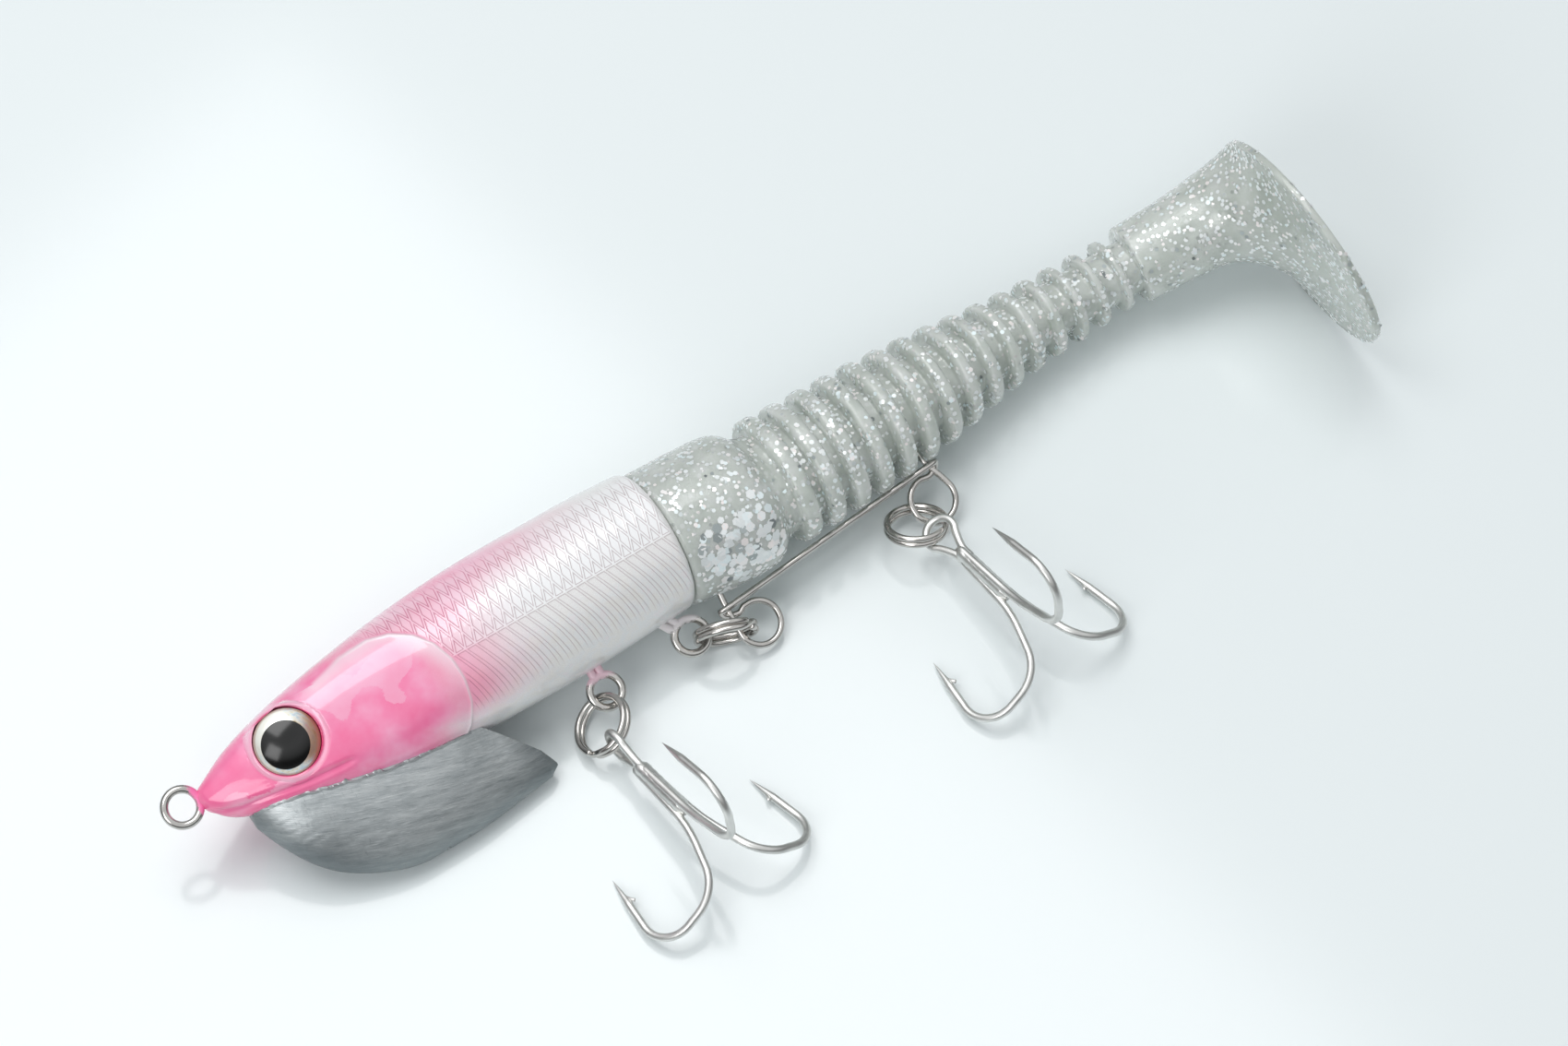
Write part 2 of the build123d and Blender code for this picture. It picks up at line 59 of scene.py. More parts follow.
# ---------------------------------------------------------------- the lure's own axes, millimetres
# u runs from nose to tail, v to the back, n to the left flank, zero at the centre of the nose ring.
LIE_ROLL, LIE_PITCH = math.radians(26.0), math.radians(1.2)
RIDE_HEIGHT = 13.13
nose_mount = next(m for m in frame["record"]["mounts"] if m["name"] == "tow_eye")
NOSE = np.array(nose_mount["pos_m"]) / MM
LYING = np.array(Matrix.Rotation(LIE_PITCH, 3, "Y") @ Matrix.Rotation(LIE_ROLL, 3, "X"))

SHELL_NOSE, BODY_LENGTH, BODY_DEPTH, BODY_WIDTH = 2.3, 78.2, 23.7, 22.8
REAR_FACE = SHELL_NOSE + BODY_LENGTH
EYE_U, EYE_V, EYE_N, EYE_RADIUS, EYE_TILT = 16.6, 0.7, 5.9, 4.8, math.radians(9.0)
DOME_FOOT, DOME_RISE = 0.80, 1.7


def to_row(points):
    """Points in the lure's axes, in row millimetres."""
    return np.asarray(points, float) @ LYING.T + NOSE


def to_lure(points):
    return (np.asarray(points, float) - NOSE) @ LYING


def smoothstep(low, high, x):
    t = np.clip((np.asarray(x, float) - low) / (high - low), 0, 1)
    return t * t * (3 - 2 * t)


def curve_through(xs, ys, x):
    """Smooth line through (xs, ys), with slopes limited so that it doesn't overshoot."""
    xs, ys = np.asarray(xs, float), np.asarray(ys, float)
    secant = np.diff(ys) / np.diff(xs)
    slope = np.concatenate([[secant[0]], (secant[:-1] + secant[1:]) / 2, [secant[-1]]])
    flat = np.concatenate([[False], secant[:-1] * secant[1:] <= 0, [False]])
    slope[flat] = 0
    x = np.clip(np.asarray(x, float), xs[0], xs[-1])
    i = np.clip(np.searchsorted(xs, x, side="right") - 1, 0, len(xs) - 2)
    h = xs[i + 1] - xs[i]
    t = (x - xs[i]) / h
    return ((1 + 2 * t) * (1 - t) ** 2 * ys[i] + t * (1 - t) ** 2 * h * slope[i]
            + t * t * (3 - 2 * t) * ys[i + 1] + t * t * (t - 1) * h * slope[i + 1])


def smooth_path(points, step):
    """Evenly spaced points on a smooth line through the given ones."""
    points = np.asarray(points, float)
    along = np.concatenate([[0], np.cumsum(np.linalg.norm(np.diff(points, axis=0), axis=1) ** 0.5)])
    dense = np.linspace(0, along[-1], 40 * len(points))
    line = np.stack([curve_through(along, points[:, k], dense) for k in range(3)], 1)
    length = np.concatenate([[0], np.cumsum(np.linalg.norm(np.diff(line, axis=0), axis=1))])
    even = np.linspace(0, length[-1], max(4, int(length[-1] / step)))
    return np.stack([np.interp(even, length, line[:, k]) for k in range(3)], 1)


def distance_to_line(points, line):
    """Distance in the plane from each point to an open line of points."""
    best = np.full(len(points), 1e9)
    for a, b in zip(line[:-1], line[1:]):
        a, b = np.asarray(a, float), np.asarray(b, float)
        t = np.clip(((points - a) @ (b - a)) / ((b - a) @ (b - a)), 0, 1)
        best = np.minimum(best, np.linalg.norm(points - a - t[:, None] * (b - a), axis=1))
    return best


# ---------------------------------------------------------------- mesh helpers
class Parts:
    """Collects vertices and faces of one object, in row millimetres."""

    def __init__(self):
        self.points, self.faces, self.slots, self.count = [], [], [], 0

    def add(self, points, faces, slot=0):
        self.points.append(np.asarray(points, float))
        self.faces += [tuple(i + self.count for i in face) for face in faces]
        self.slots += [slot] * len(faces)
        self.count += len(points)

    def make(self, name, materials, attributes=None, smooth=True):
        points = np.concatenate(self.points)
        mesh = bpy.data.meshes.new(name)
        mesh.from_pydata((points * MM).tolist(), [], self.faces)
        for material in materials:
            mesh.materials.append(material)
        mesh.polygons.foreach_set("material_index", self.slots)
        mesh.polygons.foreach_set("use_smooth", [smooth] * len(self.faces))
        store_vectors(mesh, "lure", to_lure(points))
        for key, values in (attributes or {}).items():
            layer = mesh.attributes.new(key, "FLOAT", "POINT")
            layer.data.foreach_set("value", np.asarray(values, np.float32))
        mesh.validate()
        obj = bpy.data.objects.new(name, mesh)
        bpy.context.scene.collection.objects.link(obj)
        return obj


def store_vectors(mesh, key, values):
    layer = mesh.attributes.new(key, "FLOAT_VECTOR", "POINT")
    layer.data.foreach_set("vector", np.asarray(values, np.float32).ravel())


def rings_to_faces(rows, columns, start_cap=False, end_cap=False, closed=False):
    """Quads between rows of a round grid, with optional caps over the first and last row."""
    faces = []
    for i in range(rows if closed else rows - 1):
        a, b = i * columns, (i + 1) % rows * columns
        faces += [(a + j, a + (j + 1) % columns, b + (j + 1) % columns, b + j) for j in range(columns)]
    if start_cap:
        faces.append(tuple(range(columns))[::-1])
    if end_cap:
        faces.append(tuple((rows - 1) * columns + j for j in range(columns)))
    return faces


def tube(path, radius, sides=20, closed=False, lobes=None):
    """Round wire along a path: radius is one number or one per point. lobes(angle) scales the section."""
    path = np.asarray(path, float)
    count = len(path)
    radius = np.broadcast_to(np.asarray(radius, float), (count,))
    tangent = np.roll(path, -1, 0) - np.roll(path, 1, 0) if closed else np.gradient(path, axis=0)
    tangent = tangent / np.linalg.norm(tangent, axis=1)[:, None]
    side = np.cross(tangent[0], (0.31, 0.52, 0.79))
    sides_at = []
    for t in tangent:
        side = side - t * (side @ t)
        side = side / np.linalg.norm(side)
        sides_at.append(side)
    if closed:
        end = sides_at[-1] - tangent[0] * (sides_at[-1] @ tangent[0])
        other = np.cross(tangent[0], sides_at[0])
        twist = math.atan2(end @ other, end @ sides_at[0])
    angles = np.linspace(0, 2 * math.pi, sides, endpoint=False)
    points = []
    for i in range(count):
        turn = angles - (twist * i / count if closed else 0)
        up = np.cross(tangent[i], sides_at[i])
        scale = 1.0 if lobes is None else lobes(angles, i)
        r = (radius[i] * scale) * np.ones(sides)
        points.append(path[i] + (r * np.cos(turn))[:, None] * sides_at[i] + (r * np.sin(turn))[:, None] * up)
    return np.concatenate(points), rings_to_faces(count, sides, not closed, not closed, closed)


# ---------------------------------------------------------------- node helpers
class Value:
    """A number or vector in a material's node tree, with arithmetic that adds Math nodes."""

    def __init__(self, tree, socket):
        self.tree, self.socket = tree, socket

    def math(self, operation, *others):
        node = self.tree.nodes.new("ShaderNodeMath")
        node.operation = operation
        for i, value in enumerate((self, *others)):
            if isinstance(value, Value):
                self.tree.links.new(value.socket, node.inputs[i])
            else:
                node.inputs[i].default_value = value
        return Value(self.tree, node.outputs[0])

    def __add__(self, other):
        return self.math("ADD", other)

    def __sub__(self, other):
        return self.math("SUBTRACT", other)

    def __mul__(self, other):
        return self.math("MULTIPLY", other)

    def __truediv__(self, other):
        return self.math("DIVIDE", other)

    def low(self, other):
        return self.math("MINIMUM", other)

    def high(self, other):
        return self.math("MAXIMUM", other)

    def to_line(self):
        """Distance to the nearest whole number."""
        return (self + 0.5).math("FRACT").math("SUBTRACT", 0.5).math("ABSOLUTE")

    def step(self, start, end):
        """0 at start and 1 at end, eased between; start may be the larger."""
        node = self.tree.nodes.new("ShaderNodeMapRange")
        node.interpolation_type = "SMOOTHSTEP"
        self.tree.links.new(self.socket, node.inputs["Value"])
        flipped = start > end
        node.inputs["From Min"].default_value = min(start, end)
        node.inputs["From Max"].default_value = max(start, end)
        node.inputs["To Min"].default_value = 1.0 if flipped else 0.0
        node.inputs["To Max"].default_value = 0.0 if flipped else 1.0
        return Value(self.tree, node.outputs["Result"])


class Paint:
    """One Principled material and the nodes that feed it."""

    def __init__(self, name, colour=(0.8, 0.8, 0.8), **sockets):
        self.material = bpy.data.materials.new(name)
        self.material.use_nodes = True
        self.tree = self.material.node_tree
        self.shader = self.tree.nodes["Principled BSDF"]
        self.shader.inputs["Base Color"].default_value = (*colour, 1)
        for key, value in sockets.items():
            self.shader.inputs[key.replace("_", " ")].default_value = value

    def attribute(self, name, output="Fac"):
        node = self.tree.nodes.new("ShaderNodeAttribute")
        node.attribute_name = name
        return Value(self.tree, node.outputs[output])

    def object_place(self):
        node = self.tree.nodes.new("ShaderNodeTexCoord")
        return Value(self.tree, node.outputs["Object"])

    def parts(self, vector):
        node = self.tree.nodes.new("ShaderNodeSeparateXYZ")
        self.tree.links.new(vector.socket, node.inputs[0])
        return [Value(self.tree, out) for out in node.outputs]

    def vector(self, x, y, z):
        node = self.tree.nodes.new("ShaderNodeCombineXYZ")
        for i, value in enumerate((x, y, z)):
            if isinstance(value, Value):
                self.tree.links.new(value.socket, node.inputs[i])
            else:
                node.inputs[i].default_value = value
        return Value(self.tree, node.outputs[0])

    def noise(self, vector, scale, detail=2.0, roughness=0.5, distortion=0.0):
        node = self.tree.nodes.new("ShaderNodeTexNoise")
        self.tree.links.new(vector.socket, node.inputs["Vector"])
        node.inputs["Scale"].default_value = scale
        node.inputs["Detail"].default_value = detail
        node.inputs["Roughness"].default_value = roughness
        node.inputs["Distortion"].default_value = distortion
        return Value(self.tree, node.outputs["Fac"])

    def cells(self, vector, scale):
        """Distance to the nearest of scattered points, and that point's random colour."""
        node = self.tree.nodes.new("ShaderNodeTexVoronoi")
        self.tree.links.new(vector.socket, node.inputs["Vector"])
        node.inputs["Scale"].default_value = scale
        return Value(self.tree, node.outputs["Distance"]), Value(self.tree, node.outputs["Color"])

    def mix(self, share, first, second, blend="MIX"):
        """Colours first and second, mixed by share."""
        node = self.tree.nodes.new("ShaderNodeMix")
        node.data_type = "RGBA"
        node.blend_type = blend
        if isinstance(share, Value):
            self.tree.links.new(share.socket, node.inputs["Factor"])
        else:
            node.inputs["Factor"].default_value = share
        for key, colour in (("A", first), ("B", second)):
            socket = next(s for s in node.inputs if s.name == key and s.type == "RGBA")
            if isinstance(colour, Value):
                self.tree.links.new(colour.socket, socket)
            else:
                socket.default_value = (*colour, 1)
        return Value(self.tree, next(s for s in node.outputs if s.type == "RGBA"))

    def ramp(self, value, *stops):
        """Colour ramp through (place, colour) stops."""
        node = self.tree.nodes.new("ShaderNodeValToRGB")
        self.tree.links.new(value.socket, node.inputs[0])
        while len(node.color_ramp.elements) < len(stops):
            node.color_ramp.elements.new(0.5)
        for element, (place, colour) in zip(node.color_ramp.elements, stops):
            element.position = place
            element.color = (*colour, 1)
        return Value(self.tree, node.outputs[0])

    def set(self, key, value):
        self.tree.links.new(value.socket, self.shader.inputs[key])

    def bump(self, height, distance, strength=1.0):
        node = self.tree.nodes.new("ShaderNodeBump")
        node.inputs["Strength"].default_value = strength
        node.inputs["Distance"].default_value = distance * MM
        self.tree.links.new(height.socket, node.inputs["Height"])
        self.tree.links.new(node.outputs[0], self.shader.inputs["Normal"])


# ---------------------------------------------------------------- hard body: form
STATION_SHARES = (0.0, 0.025, 0.08, 0.175, 0.29, 0.44, 0.61, 0.765, 0.895, 1.0)
BACK = (0.030, 0.072, 0.163, 0.262, 0.342, 0.418, 0.468, 0.477, 0.475, 0.456)
BELLY = (-0.075, -0.160, -0.262, -0.362, -0.435, -0.498, -0.523, -0.522, -0.503, -0.485)
FLANK = (0.105, 0.225, 0.405, 0.610, 0.790, 0.930, 0.990, 1.000, 0.990, 0.955)
NOSE_ROUND, REAR_ROUND = 1.1, 1.3

SCALE_PITCH, SCALE_ROW = 1.68, 2.45          # cross-hatched scales, along and across the flank
LATERAL_V = -0.5
SCALE_START = 0.55
RIDGE_HALF = 0.16
GILL_EDGE = ((24.0, 5.9), (29.0, 7.3), (33.5, 7.5), (36.6, 6.7), (39.2, 4.9), (41.0, 2.4), (42.1, -0.8),
             (42.4, -4.0), (42.0, -7.4), (40.9, -10.2), (38.9, -12.3))
MOUTH = ((2.3, -2.3), (4.2, -3.3), (7.0, -4.2), (12.2, -5.0), (17.6, -5.8), (23.4, -6.3))


def section_at(u):
    """Half depth, half width and middle height of the body at u."""
    share = (np.asarray(u, float) - SHELL_NOSE) / BODY_LENGTH
    back, belly, flank = (curve_through(STATION_SHARES, line, share) for line in (BACK, BELLY, FLANK))
    nose = np.clip((u - SHELL_NOSE) / NOSE_ROUND, 0, 1)
    rear = np.clip((u - (REAR_FACE - REAR_ROUND)) / REAR_ROUND, 0, 1)
    rounding = np.sqrt(np.maximum(1 - (1 - nose) ** 2, 0))
    inset = REAR_ROUND * (1 - np.sqrt(np.maximum(1 - rear ** 2, 0)))
    half_depth = (back - belly) / 2 * BODY_DEPTH * rounding - inset
    half_width = flank / 2 * BODY_WIDTH * rounding - inset
    return np.maximum(half_depth, 0.02), np.maximum(half_width, 0.02), (back + belly) / 2 * BODY_DEPTH


def squareness(u):
    """Exponent of the body's section: 2 is an ellipse, more is boxier."""
    return 2.05 + 0.75 * smoothstep(5, 14, u) * (1 - smoothstep(26, 44, u))


def flank_height(u, v):
    """Height n of the body's left surface over (u, v)."""
    depth, width, middle = section_at(u)
    power = squareness(u)
    share = np.clip(np.abs(v - middle) / depth, 0, 1)
    return width * (1 - share ** power) ** (1 / power)


def gill_distance(u, v):
    """Distance to the gill plate's edge, positive on the plate."""
    flat = np.stack([u, v], 1)
    away = distance_to_line(flat, GILL_EDGE)
    edge_v = [p[1] for p in GILL_EDGE[3:]][::-1]
    edge_u = [p[0] for p in GILL_EDGE[3:]][::-1]
    limit = np.interp(v, edge_v, edge_u)
    top_v = np.interp(u, [p[0] for p in GILL_EDGE[:4]], [p[1] for p in GILL_EDGE[:4]])
    inside = (u < limit) & (v < np.where(u < GILL_EDGE[3][0], top_v, 99))
    return np.where(inside, away, -away)


def relief(u, v):
    """Height of the moulded detail over the smooth body."""
    gill = gill_distance(u, v)
    behind = smoothstep(0.0, 0.5, -gill)
    p, q = u / SCALE_PITCH - SCALE_START, (v - LATERAL_V) / SCALE_ROW
    drop = np.maximum(LATERAL_V - v, 0)

    def to_line(x):
        return np.abs((x + 0.5) % 1 - 0.5)

    stretch = math.hypot(1 / SCALE_PITCH, 0.5 / SCALE_ROW)
    net = np.minimum(to_line(p - q / 2), to_line(p + q / 2)) / stretch
    net = np.minimum(net, np.abs(v - LATERAL_V))
    lean = 0.5 * drop - 0.02 * np.maximum(drop - 3, 0) ** 2
    ribs = to_line((u - lean) / SCALE_PITCH - SCALE_START) * SCALE_PITCH * 0.9 - 0.02 * drop
    ridge = np.where(v > LATERAL_V, net, np.minimum(ribs, np.abs(v - LATERAL_V)))
    fade = smoothstep(30, 37, u) * (1 - smoothstep(9.3, 10.6, v)) * smoothstep(-9.6, -8.2, v) * behind
    height = 0.06 * (1 - smoothstep(RIDGE_HALF - 0.04, RIDGE_HALF + 0.09, ridge)) * fade
    height += 0.16 * smoothstep(-0.15, 0.15, gill) * smoothstep(27, 35, u)
    height += 0.14 * np.exp(-(gill / 0.28) ** 2) * smoothstep(25, 34, u)
    mouth = distance_to_line(np.stack([u, v], 1), MOUTH)
    height -= 0.30 * np.exp(-(mouth / 0.42) ** 2) * (1 - smoothstep(22.0, 24.5, u))
    height += (0.10 * np.exp(-((mouth - 1.0) / 0.5) ** 2) * (1 - smoothstep(20.0, 24.0, u))
               * smoothstep(3, 6, u))
    return height


def eye_polar(u, v):
    """Distance from the eye's axis, over the flank."""
    return np.hypot((u - EYE_U) / math.cos(EYE_TILT), v - EYE_V)


def body_grid():
    """The body's skin as rows of points round it, with the left and right flank alike."""
    rows_u = np.concatenate([
        SHELL_NOSE + NOSE_ROUND * (1 - np.cos(np.linspace(0, math.pi / 2, 12))) + np.linspace(0, 0.02, 12),
        np.linspace(SHELL_NOSE + NOSE_ROUND + 0.2, 30, 92, endpoint=False),
        np.linspace(30, REAR_FACE - REAR_ROUND, 318, endpoint=False),
        REAR_FACE - REAR_ROUND + REAR_ROUND * np.sin(np.linspace(0, math.pi / 2, 12)),
    ])
    half = 212
    share = (np.arange(half) + 0.5) / half
    angle = math.pi * (share - 0.045 * np.sin(2 * math.pi * share) * 0.6)
    angles = np.concatenate([angle, 2 * math.pi - angle[::-1]])
    depth, width, middle = (x[:, None] for x in section_at(rows_u))
    power = squareness(rows_u)[:, None]
    c, s = np.cos(angles)[None], np.sin(angles)[None]
    v = middle + depth * np.sign(c) * np.abs(c) ** (2 / power)
    n = width * np.sign(s) * np.abs(s) ** (2 / power)
    u = np.broadcast_to(rows_u[:, None], v.shape)
    return u, v, n, middle, depth, width, power


def build_body(material):
    u, v, n, middle, depth, width, power = body_grid()
    rows, columns = u.shape
    normal_v = np.sign(v - middle) * np.abs((v - middle) / depth) ** (power - 1) / depth
    normal_n = np.sign(n) * np.abs(n / width) ** (power - 1) / width
    size = np.hypot(normal_v, normal_n) + 1e-9
    normal_v, normal_n = normal_v / size, normal_n / size
    height = relief(u.ravel(), v.ravel()).reshape(u.shape)
    near_nose = smoothstep(SHELL_NOSE + 0.4, SHELL_NOSE + 2.0, u)
    height = height * near_nose
    around = eye_polar(u, v)
    v = v + normal_v * height
    n = n + normal_n * height
    pocket = smoothstep(5.75, 5.35, around)
    floor = EYE_N - 0.5 - (EYE_U - u) * math.tan(EYE_TILT)
    n = np.where((np.abs(n) > 1.0), np.sign(n)
                 * (np.abs(n) * (1 - pocket) + np.minimum(np.abs(n), floor) * pocket), n)
    points = np.stack([u, v, n], 2).reshape(-1, 3)
    parts = Parts()
    faces = rings_to_faces(rows, columns, start_cap=True)
    parts.add(to_row(points), faces)
    rim = points[-columns:]
    centre = np.array([REAR_FACE, section_at(np.array([REAR_FACE - 2.0]))[2][0], 0.0])
    inner = np.concatenate([centre + (rim - centre) * share for share in (0.96, 0.7, 0.3)])
    cap = [tuple(f) for f in rings_to_faces(4, columns, end_cap=True)]
    parts.add(to_row(np.concatenate([rim, inner])), cap)
    all_uv = [points, rim, inner]
    for side in (1, -1):
        lip, lip_faces = eye_lip(side)
        parts.add(to_row(lip), lip_faces)
        all_uv.append(lip)
    flat = np.concatenate(all_uv)
    gill = gill_distance(flat[:, 0], flat[:, 1])
    mouth = distance_to_line(flat[:, :2], MOUTH)
    eye = eye_polar(flat[:, 0], flat[:, 1])
    return parts.make("painted_body", [material], {"gill": gill, "mouth": mouth, "eye": eye})


def eye_lip(side):
    """Raised lip of the eye socket: a ring that runs out into the flank."""
    around, across = 160, 16
    angles = np.linspace(0, 2 * math.pi, around, endpoint=False)
    steps = np.linspace(0, 1, across)
    rows = []
    for share in steps:
        r = EYE_RADIUS + 0.06 + share * 1.35
        u = EYE_U + r * np.cos(angles) * math.cos(EYE_TILT)
        v = EYE_V + r * np.sin(angles)
        depth, _, middle = section_at(u)
        limit = middle + depth * 0.90
        v = np.minimum(v, limit)
        plane = EYE_N + (u - EYE_U) * math.tan(EYE_TILT)
        skin = flank_height(u, v)
        crest = plane + 1.0
        rise = np.where(share < 0.25, smoothstep(-0.05, 0.22, share), 1 - smoothstep(0.25, 1.0, share))
        n = skin - 0.12 + (crest - skin + 0.12) * rise
        rows.append(np.stack([u, v, n], 1))
    wall = rows[0].copy()
    wall[:, 2] = EYE_N - 0.6 + (wall[:, 0] - EYE_U) * math.tan(EYE_TILT)
    points = np.concatenate([wall] + rows)
    points[:, 2] *= side
    faces = rings_to_faces(across + 1, around)
    if side > 0:
        faces = [f[::-1] for f in faces]
    return points, faces


# ---------------------------------------------------------------- hard body: paint
def body_paint():
    paint = Paint("body_paint", Roughness=0.22, Specular_IOR_Level=0.5, Coat_Weight=0.8, Coat_Roughness=0.05)
    place = paint.attribute("lure", "Vector")
    u, v, _ = paint.parts(place)
    gill = paint.attribute("gill")
    eye = paint.attribute("eye")
    soft = paint.noise(place, 0.09, 2.0)
    wander = (soft - 0.5) * 9.0

    p = u * (1 / SCALE_PITCH) - SCALE_START
    q = (v - LATERAL_V) * (1 / SCALE_ROW)
    stretch = math.hypot(1 / SCALE_PITCH, 0.5 / SCALE_ROW)
    net = (p - q * 0.5).to_line().low((p + q * 0.5).to_line()) * (1 / stretch)
    drop = (v * -1.0 + LATERAL_V).high(0.0)
    past = (drop - 3.0).high(0.0)
    lean = drop * 0.5 - past * past * 0.02
    ribs = ((u - lean) * (1 / SCALE_PITCH) - SCALE_START).to_line() * (SCALE_PITCH * 0.9) - drop * 0.02
    above = v.step(LATERAL_V - 0.02, LATERAL_V + 0.02)
    lateral = (v - LATERAL_V).math("ABSOLUTE")
    across = (net * above + ribs * (above * -1.0 + 1.0)).low(lateral)
    field = (gill.step(-0.35, -0.75) * u.step(30, 38) * v.step(10.6, 9.0) * v.step(-9.8, -7.6)
             * u.step(80.2, 79.3))
    # Mask of thin dark lines at the edges of the scale ridges, used both as painted groove shade and as a
    # bump groove
    line = (across - (RIDGE_HALF + 0.02)).math("ABSOLUTE").step(0.07, 0.02) * field
    cell = across.step(0.20, 0.28).high(across.step(0.15, 0.09)) * field * above

    back = v.step(3.0, 9.5) * (u + wander).step(76, 44) * 0.85
    upper = (u + wander * 0.6 - v * 1.1).step(52, 38) * v.step(-4.0, 1.0)
    lower = (u + wander * 0.5).step(57, 39)
    head = (gill.step(-0.5, 0.4) * (u + wander * 0.4).step(47, 36)).high(u.step(34, 26))
    belly = v.step(-11.6, -7.0).high(u.step(46, 32))
    pink = back.high(upper * 0.8).high(lower * 0.8).high(head) * belly
    depth = paint.noise(place, 0.16, 3.0, 0.55)
    tint = paint.ramp(depth, (0.30, (0.97, 0.12, 0.34)), (0.48, (0.99, 0.20, 0.43)),
                      (0.68, (1.0, 0.36, 0.58)))
    nose_tint = paint.mix(u.step(30, 6) * v.step(6.0, -5.0), tint, (0.93, 0.075, 0.29))
    plate_pale = gill.step(3.2, 0.2) * gill.step(-0.6, 0.1) * v.step(-9.0, 3.0) * 0.8
    plate = paint.mix(plate_pale, nose_tint, (1.0, 0.72, 0.83))

    ragged = paint.noise(place, 1.6, 6.0, 0.8)
    blocks = paint.noise(place, 0.14, 1.0) + (ragged - 0.5) * 0.14
    foil_patch = blocks.step(0.575, 0.59) * u.step(4, 7) * gill.step(0.6, 1.4) * v.step(-5.5, -4.5)
    patched = paint.mix(foil_patch * 0.5, plate, (1.0, 0.48, 0.67))
    flecks = paint.noise(place, 9.0, 2.0, 0.7)
    pearl = paint.mix(flecks.step(0.42, 0.66), (0.83, 0.81, 0.80), (0.94, 0.925, 0.92))
    pearl_shine = paint.mix(cell * 0.85, pearl, (0.97, 0.97, 0.98))
    hue = paint.ramp(paint.noise(place, 0.55, 2.0, 0.6), (0.38, (0.80, 0.78, 0.70)),
                     (0.50, (0.80, 0.80, 0.80)),
                     (0.58, (0.72, 0.80, 0.84)), (0.68, (0.84, 0.76, 0.82)))
    pearl_tinted = paint.mix(v.step(-1.0, -4.5) * 0.25, pearl_shine, hue)
    pink_on = paint.mix(pink * (cell * -0.30 + 0.92), pearl_tinted, patched)
    # Thin dark lines along the scale ridges: partly ink, partly painted shade of the fine grooves there
    groove_shade_and_ink = paint.mix(line * 0.62, pink_on, (0.60, 0.46, 0.50), "MULTIPLY")
    edge = (gill + 0.02).math("ABSOLUTE").step(0.30, 0.08) * u.step(26, 34)
    edged = paint.mix(edge * 0.5, groove_shade_and_ink, (0.97, 0.86, 0.90))
    # Pale pink ring on the eye's raised lip: a painted highlight
    lip = (eye - 5.5).math("ABSOLUTE").step(0.55, 0.1)
    lip_highlighted = paint.mix(lip * 0.55, edged, (1.0, 0.66, 0.79))
    rim = eye.step(5.05, 4.9)
    rimmed = paint.mix(rim, lip_highlighted, (0.75, 0.03, 0.16))
    mouth = paint.attribute("mouth").step(0.55, 0.05) * u.step(24, 21)
    paint.set("Base Color", paint.mix(mouth * 0.5, rimmed, (0.80, 0.10, 0.30)))
    paint.bump(line * -1.0 + paint.noise(place, 0.8, 2.0) * 0.15, 0.05, 0.8)
    return paint.material


# ---------------------------------------------------------------- eyes
def eye_points(r, angle, height, side):
    """Points of the eye's own disc: radius, angle and height over its floor."""
    a = r * np.cos(angle)
    b = r * np.sin(angle)
    u = EYE_U + a * math.cos(EYE_TILT) - height * math.sin(EYE_TILT)
    n = EYE_N + a * math.sin(EYE_TILT) + height * math.cos(EYE_TILT)
    return np.stack([u, EYE_V + b + 0 * u, side * n], -1)


def build_eye(side, name, material):
    """One eye: a domed drop of resin with the print painted on its surface."""
    rings, around = 30, 120
    angle = np.linspace(0, 2 * math.pi, around, endpoint=False)
    edge = EYE_RADIUS - 0.02
    ball = (DOME_RISE ** 2 + edge ** 2) / (2 * DOME_RISE)
    rows, radial = [], []
    for share in np.sin(np.linspace(0.02, math.pi / 2, rings)):
        r = share * edge
        height = DOME_FOOT + math.sqrt(ball ** 2 - r ** 2) - (ball - DOME_RISE)
        rows.append(eye_points(np.full(around, r), angle, height + 0 * angle, side))
        radial.append(np.stack([r * np.cos(angle), r * np.sin(angle), 0 * angle], 1))
    rows.append(eye_points(np.full(around, edge), angle, 0 * angle, side))
    radial.append(radial[-1])
    points, faces = np.concatenate(rows), rings_to_faces(rings + 1, around, True, True)
    if side < 0:
        faces = [f[::-1] for f in faces]
    parts = Parts()
    parts.add(to_row(points), faces)
    obj = parts.make(name, [material])
    store_vectors(obj.data, "disc", np.concatenate(radial))
    return obj


def eye_resin():
    paint = Paint("eye_resin", Roughness=0.22, Specular_IOR_Level=0.2, Coat_Weight=0.8, Coat_Roughness=0.17)
    place = paint.attribute("disc", "Vector")
    a, b, _ = paint.parts(place)
    radius = (a * a + b * b).math("SQRT")
    pupil = ((a + 0.42) * (a + 0.42) + (b + 0.30) * (b + 0.30)).math("SQRT")
    right = a * 0.82 - b * 0.57
    up = a * 0.57 + b * 0.82
    shimmer = paint.noise(paint.vector(right * 0.5, up * 0.5, radius * 1.2), 1.5, 3.0, 0.6)
    foil = paint.ramp(shimmer, (0.28, (0.50, 0.36, 0.20)), (0.42, (0.88, 0.84, 0.68)),
                      (0.52, (0.96, 0.96, 0.92)),
                      (0.60, (0.55, 0.80, 0.88)), (0.70, (0.86, 0.60, 0.74)), (0.82, (0.66, 0.54, 0.88)))
    silver = paint.mix(right.step(1.2, -2.4) * up.step(-3.6, -1.8) * 0.85, foil, (0.94, 0.93, 0.86))
    brown = paint.mix(right.step(0.2, 3.2) * up.step(-3.6, -1.2) * 0.85, silver, (0.42, 0.20, 0.11))
    wall = paint.mix(radius.step(4.35, 4.65) * 0.6, brown, (0.36, 0.20, 0.12))
    black = pupil.step(3.56, 3.46)
    paint.set("Base Color", paint.mix(black, wall, (0.003, 0.003, 0.003)))
    paint.set("Metallic", black * -0.35 + 0.35)
    return paint.material


